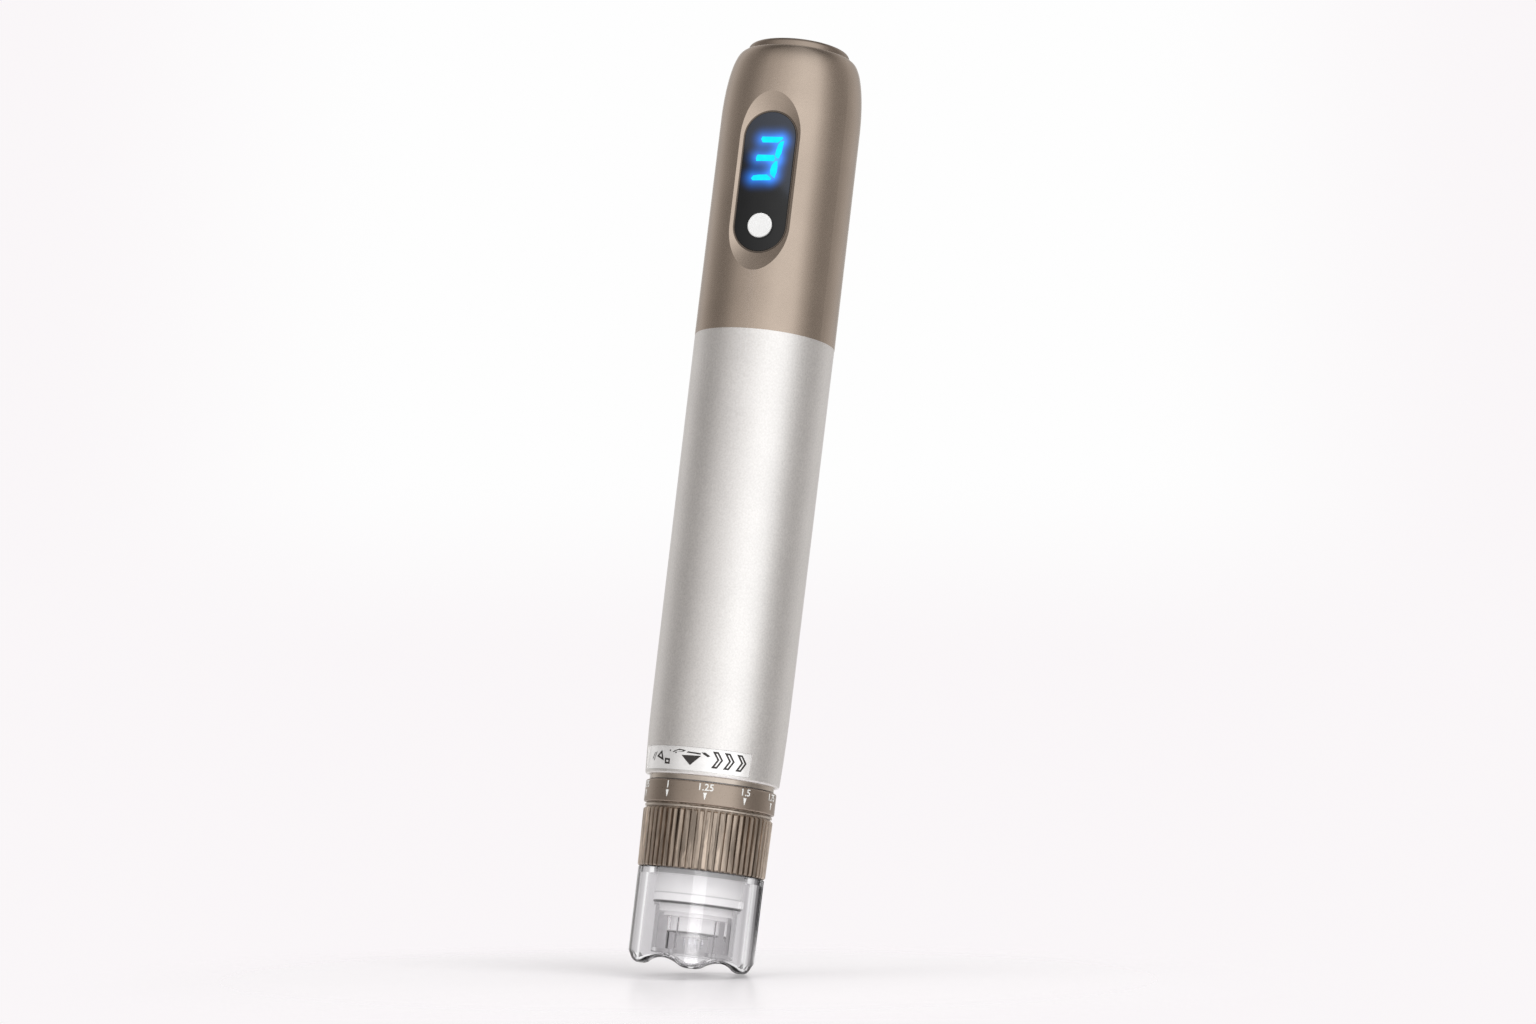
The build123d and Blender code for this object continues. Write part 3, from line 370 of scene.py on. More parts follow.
surfaces = ray["Transmission Depth"]
crossed_bore = math_node(tree, "GREATER_THAN", surfaces, past_wall)
bent = mixed_colour(tree, crossed_bore, painted(wall_tones, clear_tint), painted(bore_tones, clear_tint))
steep = faded(tree, math_node(tree, "ABSOLUTE", elevation), steep_from, steep_to, steep_shade)
strength = math_node(tree, "MULTIPLY", steep, faded(tree, surfaces, past_bore, past_tip, tip_shade))
glow = mixed_shader(tree, ray["Is Transmission Ray"], mirrored_glow, shining(tree, bent, strength))
tree.links.new(glow, output.inputs["Surface"])
dome.data.materials.append(dome_paint)
dome.visible_camera = False
dome.visible_diffuse = False
dome.visible_shadow = False
print("dome paint:", len(tree.nodes), "nodes")

# %% [markdown]
# ## The floor
#
# In the photograph the floor shows only as a soft shadow and a faint reflection under the
# guard. It is seen from just above while the pen is seen from below, because the pen leans
# back. So the floor is a small tilted disc that touches the guard's rim, and it fades out
# towards its edge so that no horizon shows.

# %% Lay the floor
floor_radius = 260 * MM
floor_gap = 0.05 * MM
floor_seen_from = radians(3.5)
rim_radius = 11.2 * MM

to_camera = camera_place.normalized()
floor_up = (camera_up - camera_up.dot(to_camera) * to_camera).normalized()
floor_normal = floor_up * cos(floor_seen_from) + to_camera * sin(floor_seen_from)
rim_points = [Vector((cos(radians(a)), sin(radians(a)), 0)) * rim_radius for a in range(360)]
floor_drop = min(floor_normal.dot(point) for point in rim_points)

deselect_all()
bpy.ops.mesh.primitive_circle_add(vertices=96, radius=floor_radius, fill_type="NGON")
floor = bpy.context.object
floor.name = "pale_floor"
floor.rotation_mode = "QUATERNION"
floor.rotation_quaternion = floor_normal.to_track_quat("Z", "Y")
floor.location = floor_normal * (floor_drop - floor_gap)
print("floor tilts", round(degrees(floor_normal.angle(Vector((0, 0, 1)))), 1), "degrees")

# %% Paint the floor
floor_solid, floor_gone = 30 * MM, 120 * MM
floor_white = (0.97, 0.948, 0.96, 1)
sheen_white = (1, 0.975, 0.99, 1)
sheen_roughness = 0.22
sheen_share = 0.22

floor_paint, tree, output = empty_material("floor_paint")
spot = add_node(tree, "ShaderNodeTexCoord").outputs["Object"]
solid = faded(tree, vector_node(tree, "LENGTH", spot)["Value"], floor_solid, floor_gone, 0)
matte = add_node(tree, "ShaderNodeBsdfDiffuse", {"Color": floor_white})
sheen = add_node(tree, "ShaderNodeBsdfGlossy", {"Color": sheen_white, "Roughness": sheen_roughness})
surface = mixed_shader(tree, sheen_share, matte.outputs[0], sheen.outputs[0])
gone = tree.nodes.new("ShaderNodeBsdfTransparent").outputs[0]
tree.links.new(mixed_shader(tree, solid, gone, surface), output.inputs["Surface"])
floor.data.materials.append(floor_paint)
floor.visible_transmission = False
print("floor fades out", round(floor_gone / MM), "mm from the pen")

# %% [markdown]
# ## Metals
#
# The barrel is bare blasted aluminium, and the inner parts are turned, drawn or polished. All
# have the same build: a metal shader, a grain of about a third of a millimetre in its bump and
# roughness, and a slow drift of tone. Texture sizes are easiest to read in millimetres, so every
# pattern starts from the object's own coordinates times 1000.

# %% Helpers for patterns
grain_height = 0.02 * MM


def scaled(tree, vector, amount):
    """A vector or a colour times an amount."""
    inputs = {0: vector, "Scale": amount}
    return add_node(tree, "ShaderNodeVectorMath", inputs, operation="SCALE").outputs["Vector"]


def millimetres(tree):
    """Object coordinates in millimetres."""
    spot = add_node(tree, "ShaderNodeTexCoord").outputs["Object"]
    return scaled(tree, spot, 1 / MM)


def between(tree, value, low, high, from_low=0.3, from_high=0.7):
    """The value mapped from one range to another. Noise is mostly between 0.3 and 0.7."""
    inputs = {"Value": value, "From Min": from_low, "From Max": from_high, "To Min": low, "To Max": high}
    return add_node(tree, "ShaderNodeMapRange", inputs).outputs[0]


def noise(tree, place, grain, detail=2, stretch=None):
    """Noise between 0 and 1 with so many grains in a millimetre."""
    if stretch:
        place = vector_node(tree, "MULTIPLY", place, stretch)["Vector"]
    inputs = {"Vector": place, "Scale": grain, "Detail": detail}
    return add_node(tree, "ShaderNodeTexNoise", inputs).outputs["Fac"]


def relief(tree, height, strength, distance=grain_height):
    """The normal of a bumpy surface."""
    inputs = {"Strength": strength, "Distance": distance, "Height": height}
    return add_node(tree, "ShaderNodeBump", inputs).outputs["Normal"]


print("a grain stands", round(grain_height / MM, 3), "mm high")

# %% Helpers for grained finishes
fine_detail = 3
slow_grain = 0.12
least_rough, most_rough = 0.9, 1.12


def finished(tree, output, inputs):
    """Puts a principled shader, with these sockets set or linked, on a material's output."""
    shader = add_node(tree, "ShaderNodeBsdfPrincipled", inputs)
    tree.links.new(shader.outputs[0], output.inputs["Surface"])


def grained(name, colour, metallic, roughness, grain, bump, drift=0.05, speckle=0.04, shade=None):
    """A finish with a fine grain and a slow drift of tone; shade darkens a place."""
    made, tree, output = empty_material(name)
    place = millimetres(tree)
    fine = noise(tree, place, grain, fine_detail)
    slow = noise(tree, place, slow_grain)
    speck = between(tree, fine, 1 - speckle, 1 + speckle)
    tone = math_node(tree, "MULTIPLY", between(tree, slow, 1 - drift, 1 + drift), speck)
    if shade:
        tone = math_node(tree, "MULTIPLY", tone, shade(tree, place))
    inputs = {
        "Base Color": scaled(tree, colour, tone),
        "Metallic": metallic,
        "Roughness": between(tree, fine, roughness * least_rough, roughness * most_rough),
        "Normal": relief(tree, fine, bump),
    }
    finished(tree, output, inputs)
    return made


def grained_set(metallic, rows):
    """Grained finishes by slot, from rows of values."""
    made = {slot: grained(name, colour, metallic, *rest) for slot, (name, colour, *rest) in rows.items()}
    print("finishes:", ", ".join(made))
    return made


# %% Make the metals
# slot: (name, colour, roughness, grains in a millimetre, bump, drift, speckle)
metals = {
    "silver_metal": ("blasted_silver", (0.925, 0.907, 0.892), 0.4, 3.0, 0.55, 0.02, 0.07),
    "bright_metal": ("polished_metal", (0.99, 0.98, 0.975), 0.1, 1.2, 0.05, 0.01, 0.04),
    "inner_metal": ("turned_aluminium", (0.62, 0.62, 0.64), 0.32, 3.0, 0.2, 0.05, 0.04),
    "spring_steel": ("drawn_steel", (0.55, 0.55, 0.57), 0.22, 3.0, 0.1, 0.05, 0.04),
    "motor_steel": ("motor_steel", (0.5, 0.51, 0.53), 0.36, 2.0, 0.2, 0.05, 0.04),
    "bush_brass": ("turned_brass", (0.66, 0.46, 0.18), 0.28, 3.0, 0.2, 0.05, 0.04),
}
finishes = grained_set(1, metals)

# %% [markdown]
# ## Rubber, moulded plastic and printed board
#
# The inner parts show only when the guard or the cartridge comes off, but each has its own
# finish: matte rubber, moulded plastic with a faint spark-eroded texture, shrink wrap on the
# cell and a green board with its solder mask.

# %% Make the plastics
# slot: (name, colour, roughness, grains in a millimetre, bump, drift, speckle)
plastics = {
    "seal_rubber": ("seal_rubber", (0.022, 0.022, 0.024), 0.62, 2.0, 0.2, 0.1, 0.04),
    "inner_plastic": ("moulded_plastic", (0.05, 0.05, 0.054), 0.45, 2.5, 0.3, 0.08, 0.04),
    "cell_wrap": ("cell_wrap", (0.03, 0.14, 0.3), 0.28, 0.8, 0.2, 0.08, 0.04),
    "board_green": ("board_green", (0.012, 0.12, 0.045), 0.35, 1.6, 0.3, 0.12, 0.04),
    "button_white": ("button_white", (0.76, 0.755, 0.75), 0.34, 5.0, 0.1, 0.02, 0.04),
}
finishes.update(grained_set(0, plastics))

# %% [markdown]
# ## The white cartridge
#
# White polypropylene lets a little light in, so a touch of subsurface scattering keeps it from
# looking like chalk. Three fine lines run round it: a moulded seam on the body, a painted shadow
# under the body's shoulder at the joint with the tip, and a painted shadow round the guide's foot.
# They could be cut into the solids, but a painted line costs nothing and can be as soft as the
# real one, so each is painted at its own height. Above the joint the body is painted a little
# dimmer than below it, as painted shade, because below it the clear tip brings in light.

# %% Make the cartridge's white
white_colour = (0.97, 0.96, 0.967)
white_roughness = 0.32
white_grain, white_bump = 3.0, 0.15
cloud_grain = 0.3
cloud_low, cloud_high = 0.97, 1.02
light_depth = 0.8 * MM
light_share = 0.15
joint_height = 11.25
joint_softness = 0.15
# painted shade: the body's tone above the joint, dimmer than below it
shade_above_joint = 0.9
# (height and half width in millimetres, tone)
seam_line = (13.05, 0.12, 0.7)
# painted shadow under the body's shoulder, at the joint with the tip
joint_shadow_line = (11.4, 0.2, 0.1)
# painted shadow round the guide's foot
guide_foot_shadow_line = (6.15, 0.22, 0.25)
# where a line is darkest and where it ends, in half widths
line_core, line_end = 0.5, 1.5


def white_moulding(name, lines, high_tone=1):
    """White plastic with a painted seam and painted shadow lines, and with painted shade above the joint.
    """
    made, tree, output = empty_material(name)
    place = millimetres(tree)
    height = split(tree, place)["Z"]
    # painted shade above the joint, then the painted seam and shadow lines
    tone = faded(tree, height, joint_height, joint_height + joint_softness, high_tone)
    for line_height, half, line_tone in lines:
        off_line = math_node(tree, "ABSOLUTE", math_node(tree, "SUBTRACT", height, line_height))
        seam_and_shadow_dark = between(tree, off_line, line_tone, 1.0, half * line_core, half * line_end)
        tone = math_node(tree, "MULTIPLY", tone, seam_and_shadow_dark)
    cloud = between(tree, noise(tree, place, cloud_grain), cloud_low, cloud_high)
    inputs = {
        "Base Color": scaled(tree, white_colour, math_node(tree, "MULTIPLY", tone, cloud)),
        "Roughness": white_roughness,
        "Subsurface Weight": light_share,
        "Subsurface Radius": (light_depth, light_depth, light_depth),
        "Subsurface Scale": 1,
        "Normal": relief(tree, noise(tree, place, white_grain), white_bump),
    }
    finished(tree, output, inputs)
    return made


finishes["cartridge_white"] = white_moulding("cartridge_white", (seam_line, joint_shadow_line), shade_above_joint)
guide_white = white_moulding("guide_white", (guide_foot_shadow_line,))
print("painted lines at", seam_line[0], joint_shadow_line[0], "and", guide_foot_shadow_line[0], "mm")

# %% [markdown]
# ## Clear plastic
#
# The guard and the tip are moulded clear, and their solids have real walls, so a transmission
# shader bends light as the plastic does. Left at that, the white cartridge inside would be dim,
# because lamp light seldom finds its way back through bent walls. So rays that only carry light
# to a matte surface go straight through, with a small loss at each wall and a larger one at the
# guard's rounded rim, which throws a thin shadow on the floor.
#
# Right under the grip the guard looks grey, because its bore goes on into the dark collar. The
# studio's soft light would fill that place, so the bore's wall is painted darker at its top.

# %% Make the clear plastic
guard_bend, guard_tint = 1.49, (0.985, 0.978, 0.987)
tip_bend, tip_tint = 1.25, (0.985, 0.98, 0.985)
haze_grain = 0.6
haze_low = 0.985
wall_passes = 0.97
rim_passes = 0.5
rim_height = 3.5
rim_foot = rim_height / 3
bore_reach = 10.2
bore_top_from, bore_top_to = 16.4, 16.6
bore_top_tone = 0.36


def axis_distance(tree, place):
    """How far a place is from the pen's axis."""
    flat = vector_node(tree, "MULTIPLY", place, (1, 1, 0))["Vector"]
    return vector_node(tree, "LENGTH", flat)["Value"]


def bore_shade(tree, place):
    """Dark on the top of the guard's bore, just under the grip, and 1 elsewhere."""
    on_bore = math_node(tree, "LESS_THAN", axis_distance(tree, place), bore_reach)
    at_top = faded(tree, split(tree, place)["Z"], bore_top_from, bore_top_to, 1, 0)
    return between(tree, math_node(tree, "MULTIPLY", on_bore, at_top), 1, bore_top_tone, 0, 1)


def clear_moulding(name, bend, tint, shade=None):
    """A clear plastic that bends light by its index and lets the lamps through."""
    made, tree, output = empty_material(name)
    place = millimetres(tree)
    haze = between(tree, noise(tree, place, haze_grain), haze_low, 1)
    if shade:
        haze = math_node(tree, "MULTIPLY", haze, shade(tree, place))
    colour = scaled(tree, tint, haze)
    inputs = {"Base Color": colour, "Transmission Weight": 1, "IOR": bend, "Roughness": 0}
    shader = add_node(tree, "ShaderNodeBsdfPrincipled", inputs)
    ray = tree.nodes.new("ShaderNodeLightPath").outputs
    lighting = math_node(tree, "MAXIMUM", ray["Is Shadow Ray"], ray["Is Diffuse Ray"])
    passes = faded(tree, split(tree, place)["Z"], rim_foot, rim_height, wall_passes, rim_passes)
    passing = add_node(tree, "ShaderNodeBsdfTransparent", {"Color": scaled(tree, (1, 1, 1), passes)})
    both = mixed_shader(tree, lighting, shader.outputs[0], passing.outputs[0])
    tree.links.new(both, output.inputs["Surface"])
    return made


finishes["clear_plastic"] = clear_moulding("clear_moulding", guard_bend, guard_tint, bore_shade)
thin_clear = clear_moulding("thin_clear", tip_bend, tip_tint)
print("clear plastics bend light by", guard_bend, "and", tip_bend)

# %% [markdown]
# ## The digit: five lit bars
#
# Behind the window sits a seven-bar digit that shows a 3. Every bar has a shape of its own:
# the level ones are flat lozenges, and the two upright ones are wedges that lean with the digit.
# Such a flat piece is quickest as a filled circle with as many corners as the shape needs: the
# corners are moved to their places, and the face is extruded to a thin plate.

# %% Helpers for new pieces
merge_distance = 0.001 * MM


def settle(piece):
    """Moves a piece's place into its mesh and turns its faces outwards."""
    deselect_all()
    piece.select_set(True)
    bpy.context.view_layer.objects.active = piece
    bpy.ops.object.transform_apply(location=True, rotation=True, scale=True)
    bpy.ops.object.mode_set(mode="EDIT")
    bpy.ops.mesh.select_all(action="SELECT")
    bpy.ops.mesh.remove_doubles(threshold=merge_distance)
    bpy.ops.mesh.normals_make_consistent(inside=False)
    bpy.ops.object.mode_set(mode="OBJECT")
    piece.select_set(False)


def flat_plate(name, corners, thickness=0.05, cuts=0, line=0):
    """A thin plate from its corners in millimetres, drawn in X and Z; a line keeps only its rim."""
    deselect_all()
    bpy.ops.mesh.primitive_circle_add(vertices=len(corners), radius=MM, fill_type="NGON")
    plate = bpy.context.object
    plate.name = plate.data.name = name
    for vertex, (x, z) in zip(plate.data.vertices, corners):
        vertex.co = Vector((x * MM, 0, z * MM))
    bpy.ops.object.mode_set(mode="EDIT")
    bpy.ops.mesh.select_all(action="SELECT")
    if line:
        bpy.ops.mesh.inset(thickness=line * MM, depth=0)
        bpy.ops.mesh.delete(type="FACE")
        bpy.ops.mesh.select_all(action="SELECT")
    if cuts:
        bpy.ops.mesh.subdivide(number_cuts=cuts)
    bpy.ops.mesh.extrude_region_move(TRANSFORM_OT_translate={"value": (0, thickness * MM, 0)})
    bpy.ops.object.mode_set(mode="OBJECT")
    settle(plate)
    return plate


def moved_back(piece, y):
    """Moves a piece's mesh back by millimetres."""
    for vertex in piece.data.vertices:
        vertex.co += Vector((0, y, 0)) * MM
    return piece


def dress(piece, finish, body):
    """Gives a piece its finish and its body."""
    piece.data.materials.clear()
    piece.data.materials.append(finish)
    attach(piece, body)
    print(piece.name, "rides on", body, "with", len(piece.data.polygons), "faces")


print("points less than", merge_distance / MM, "mm apart become one")

# %% Model the bars
window_low, window_high = (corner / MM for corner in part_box("display_window"))
window_face = window_low.y
bar_proud = 0.03
# (x, z) corners of each bar, in millimetres
bar_outlines = {
    "top": [
        (-1.75, 154.34), (-1.54, 154.83), (2.4, 154.89),
        (2.53, 154.61), (1.58, 153.79), (-1.38, 153.72),
    ],
    "middle": [
        (-2.32, 150.61), (-2.15, 151.22), (-1.99, 151.32), (1.07, 151.35),
        (1.37, 150.88), (1.21, 150.2), (-2.21, 150.1),
    ],
    "bottom": [
        (-2.82, 146.69), (-2.45, 147.24), (-1.52, 147.45), (0.18, 147.55),
        (1.13, 146.81), (0.92, 146.51), (-2.48, 146.32),
    ],
    "upper": [
        (2.14, 153.96), (2.78, 154.13), (2.53, 151.78), (2.12, 150.77),
        (1.77, 150.78), (1.32, 151.24), (1.44, 152.34), (1.72, 153.41),
    ],
    "lower": [
        (1.51, 150.16), (1.91, 150.25), (2.06, 149.22), (2.05, 148.13),
        (1.71, 146.91), (0.81, 147.67), (0.71, 148.44), (0.94, 149.41),
    ],
}
bars = []
for name, outline in bar_outlines.items():
    bar = flat_plate("lit_bar_" + name, outline, thickness=2 * bar_proud)
    bars.append(moved_back(bar, window_face - bar_proud))
print("bars:", len(bars))

# %% Make the light of the bars
lit_colour = (0.003, 0.86, 1.0)
lit_grain = 0.9
lit_low, lit_high = 0.92, 1.08
unlit_colour = (0.0, 0.03, 0.04, 1)

lit_cyan, tree, output = empty_material("lit_cyan")
unevenness = between(tree, noise(tree, millimetres(tree), lit_grain), lit_low, lit_high)
bar_light = {
    "Base Color": unlit_colour,
    "Roughness": 0.3,
    "Specular IOR Level": 0.15,
    "Emission Color": scaled(tree, lit_colour, unevenness),
    "Emission Strength": 1,
}
finished(tree, output, bar_light)
for bar in bars:
    dress(bar, lit_cyan, "housing")

# %% [markdown]
# ## The black window
#
# The lens is black and glossy, and the digit's light spreads in it as a blue haze, which is a
# painted glow on the lens. The glow comes from the distance to every bar: each bar has a middle
# line, the nearest point of that line is found in the node tree, and the painted light falls off
# with the distance from it. The five falls are added, so it is bluest where two bars meet.

# %% Make the window
window_colour = (0.004, 0.004, 0.0042)
window_grain = 0.4
window_dark, window_pale = 0.8, 1.2
# the painted glow of the digit on the lens: its reach in millimetres, its fall and its colour
glow_reach = 3.4
glow_fall = 2.8
painted_glow_colour = (0.03, 0.32, 1.3)
# (start x, start z, end x, end z) of each bar's middle line, in millimetres
bar_lines = (
    (-1.3, 154.3, 2.1, 154.5),
    (-1.9, 150.7, 0.9, 150.8),
    (-2.4, 146.85, 0.6, 147.0),
    (1.85, 151.3, 2.3, 153.6),
    (1.4, 147.6, 1.6, 149.8),
)
window_black, tree, output = empty_material("window_black")
place = millimetres(tree)
# haze adds up the painted glow of the bars
haze = None
for start_x, start_z, end_x, end_z in bar_lines:
    start = Vector((start_x, window_face, start_z))
    run = Vector((end_x, window_face, end_z)) - start
    length = run.length
    run.normalize()
    from_start = vector_node(tree, "SUBTRACT", place, tuple(start))["Vector"]
    along = vector_node(tree, "DOT_PRODUCT", from_start, tuple(run))["Value"]
    along = math_node(tree, "MINIMUM", math_node(tree, "MAXIMUM", along, 0), length)
    off = vector_node(tree, "SUBTRACT", from_start, scaled(tree, tuple(run), along))["Vector"]
    near = between(tree, vector_node(tree, "LENGTH", off)["Value"], 1, 0, 0, glow_reach)
    fall = math_node(tree, "POWER", near, glow_fall)
    haze = fall if haze is None else math_node(tree, "ADD", haze, fall)
unevenness = between(tree, noise(tree, place, window_grain), window_dark, window_pale)
window_gloss = {
    "Base Color": scaled(tree, window_colour, unevenness),
    "Roughness": 0.04,
    "IOR": 1.5,
    "Emission Color": scaled(tree, painted_glow_colour, haze),
    "Emission Strength": 1,
}
finished(tree, output, window_gloss)
finishes["window_gloss"] = window_black
print("window's finish:", len(tree.nodes), "nodes")

# %% [markdown]
# ## A card for the window
#
# A flat black window shows the studio like a mirror. In the photograph its upper right is
# lighter, above a slanting edge, and the rest brightens to the right. So a painted card stands
# where the window mirrors it to the camera, and only reflections see it. The camera's mirror
# image in the window gives the way from a point of the window to its place on the card, and the
# paint goes the same way back, so its edge is written in the window's own millimetres.

# %% Stand the card
card_y = -500
card_margin = 4
mirrored_camera = 2 * window_face - camera_place.y / MM
spread = (card_y - mirrored_camera) / (window_face - mirrored_camera)
spread_from = (camera_place.x / MM, camera_place.z / MM)


def on_card(x, z):
    """Where the window's point at x, z mirrors on the card."""
    return tuple(middle + (value - middle) * spread for value, middle in zip((x, z), spread_from))


left, right = window_low.x - card_margin, window_high.x + card_margin
foot, head = window_low.z - card_margin, window_high.z + card_margin
window_corners = ((left, foot), (right, foot), (right, head), (left, head))
card = moved_back(flat_plate("window_card", [on_card(x, z) for x, z in window_corners]), card_y)
print("card is", round(card.dimensions.x / MM), "mm wide")

# %% Paint the card
edge_slope, edge_height = -0.87, 148.1
edge_blur = 0.12
# the tones left and right, below the edge and above it
low_left, low_right = 0.4, 0.92
high_left, high_right = 1.2, 1.62
high_tint = (1, 1.1, 1.36)
tone_half_width = 4.5

card_paint, tree, output = empty_material("card_paint")
axes = split(tree, millimetres(tree))


def from_card(axis, middle):
    """Where in the window a place on the card is mirrored, along one axis."""
    return math_node(tree, "MULTIPLY_ADD", axes[axis], 1 / spread, middle * (1 - 1 / spread))


back_x = from_card("X", spread_from[0])
back_z = from_card("Z", spread_from[1])
edge = math_node(tree, "MULTIPLY_ADD", back_x, edge_slope, edge_height)
over_edge = between(tree, math_node(tree, "SUBTRACT", back_z, edge), 0, 1, -edge_blur, edge_blur)
low_tone = between(tree, back_x, low_left, low_right, -tone_half_width, tone_half_width)
high_tone = between(tree, back_x, high_left, high_right, -tone_half_width, tone_half_width)
low_part = scaled(tree, (1, 1, 1), low_tone)
high_part = scaled(tree, high_tint, high_tone)
tone = mixed_colour(tree, over_edge, low_part, high_part)
tree.links.new(shining(tree, tone), output.inputs["Surface"])
card.data.materials.append(card_paint)
card.visible_camera = False
card.visible_diffuse = False
card.visible_shadow = False
card.visible_transmission = False
print("card's paint:", len(tree.nodes), "nodes")

# %% [markdown]
# ## The ribbed grip
#
# The grip is a taupe like the housing's, with painted shade that darkens its grooves, and each rib
# has a tone of its own. The depth of a groove is the distance from the pen's axis, and the
# streaks are noise drawn out along the ribs. A slower noise bends the streaks a little.

# %% Make the grip's finish
rib_colour = (0.56, 0.465, 0.385)
rib_roughness = 0.36
groove_floor, rib_top = 11.5, 11.88
# painted shade: the tone at the floor of a groove
groove_shade_tone = 0.62
streak_grain, streak_detail = 1.5, 4
streak_stretch = (1, 1, 0.07)
streak_from, streak_to = 0.34, 0.66
darkest_streak, palest_streak = 0.5, 1.3
wander_grain = 0.35
wander_reach = (0.7, 0.7, 0)
brush_grain, brush_detail = 4.0, 3
brush_stretch = (1, 1, 0.3)
brush_bump = 0.35
brush_height = 0.04 * MM

ribbed_taupe, tree, output = empty_material("ribbed_taupe")
place = millimetres(tree)
# painted shade in the grooves, darker the nearer the axis
groove = between(tree, axis_distance(tree, place), groove_shade_tone, 1, groove_floor, rib_top)
wander = scaled(tree, wander_reach, noise(tree, place, wander_grain))
bent = vector_node(tree, "ADD", place, wander)["Vector"]
streak = noise(tree, bent, streak_grain, streak_detail, streak_stretch)
streak = between(tree, streak, darkest_streak, palest_streak, streak_from, streak_to)
brushed = noise(tree, place, brush_grain, brush_detail, brush_stretch)
rib_finish = {
    "Base Color": scaled(tree, rib_colour, math_node(tree, "MULTIPLY", groove, streak)),
    "Metallic": 1,
    "Roughness": rib_roughness,
    "Normal": relief(tree, brushed, brush_bump, brush_height),
}
finished(tree, output, rib_finish)
print("grip's finish:", len(tree.nodes), "nodes")

# %% [markdown]
# ## The taupe housing and the other metals that show
#
# The housing is painted a champagne taupe over fine blasting, its cap has a darker copy of it as
# painted shade, and the rings of the collar are satin or polished taupes. Round the lens runs a
# narrow floor that lies in shadow, and the soft light of this studio fills it. So the housing's
# finish has painted shade at the depth of that floor, within the width and height of the lens.

# %% Make the housing's finish
taupe_paint = (0.522, 0.431, 0.358)
# where the painted shade round the lens lies, in millimetres, and its tone
lens_set_back = 0.15
lens_line_half = 0.06
lens_line_width = 5.3
lens_line_above = 1
lens_floor_shade_tone = 0.3


def lens_floor_shade(tree, place):
    """Painted shade on the narrow floor round the lens, and 1 elsewhere."""
    axes = split(tree, place)
    off_floor = math_node(tree, "SUBTRACT", axes["Y"], window_face + lens_set_back)
    on_floor = math_node(tree, "LESS_THAN", math_node(tree, "ABSOLUTE", off_floor), lens_line_half)
    inside = math_node(tree, "LESS_THAN", math_node(tree, "ABSOLUTE", axes["X"]), lens_line_width)
    below = math_node(tree, "LESS_THAN", axes["Z"], window_high.z + lens_line_above)
    there = math_node(tree, "MULTIPLY", on_floor, math_node(tree, "MULTIPLY", inside, below))
    return between(tree, there, 1, lens_floor_shade_tone, 0, 1)


housing_taupe = grained("housing_taupe", taupe_paint, 1.0, 0.26, 3.2, 0.22, 0.04, shade=lens_floor_shade)
print("the lens stands at y =", round(window_face, 2), "mm")

# %% Make the finishes of single solids
# name, colour, how metallic, roughness, grains in a millimetre, bump, drift, speckle
# the cap's taupe is a darker copy of the housing's, as painted shade
shaded_cap_taupe = grained("shaded_cap_taupe", (0.37, 0.305, 0.253), 1.0, 0.3, 3.2, 0.08, 0.04)
ring_taupe = grained("ring_taupe", (0.42, 0.347, 0.289), 1.0, 0.3, 3.2, 0.3, 0.05)
wire_taupe = grained("polished_taupe", (0.6, 0.53, 0.465), 1.0, 0.16, 1.5, 0.1, 0.05)
band_silver = grained("band_silver", (0.99, 0.98, 0.975), 0.6, 0.1, 1.2, 0.05, 0.01)
needle_steel = grained("needle_steel", (0.8, 0.8, 0.82), 1.0, 0.2, 3.0, 0.05)
own_finish = {
    "upper_housing": housing_taupe,
    "top_cap": shaded_cap_taupe,
    "needles": needle_steel,
    "cartridge_nozzle": thin_clear,
    "needle_guide": guide_white,
    "marker_band": band_silver,
    "knurled_collar": ribbed_taupe,
    "scale_ring": ring_taupe,
    "bead_ring": wire_taupe,
    "neck_ring": wire_taupe,
}
print("solids with a finish of their own:", len(own_finish))

# %% Finish every solid
slot_of = {part["node"]: part["material_slot"] for part in frame["record"]["subparts"]}
for name, solid in nodes.items():
    solid.data.materials.clear()
    solid.data.materials.append(own_finish.get(name) or finishes[slot_of[name]])
print("finished solids:", len(nodes))

# %% [markdown]
# ## Wound springs
#
# Two return springs shorten as the needles come out: one under the push rod's head, and one
# round the needle plunger. A coil of wound wire of the same size stands in for each solid, at
# the solid's own length.

# %% Wind the springs
spring_wire = 0.5
spring_corners = 10
spring_steps = 32
sharp_angle = radians(50)
# (solid, the joint that presses it, the body it stands on, its turns)
springs = (
    ("needle_spring", "needle_stroke", "cartridge", 5),
    ("rod_spring", "rod_stroke", "housing", 4),
)


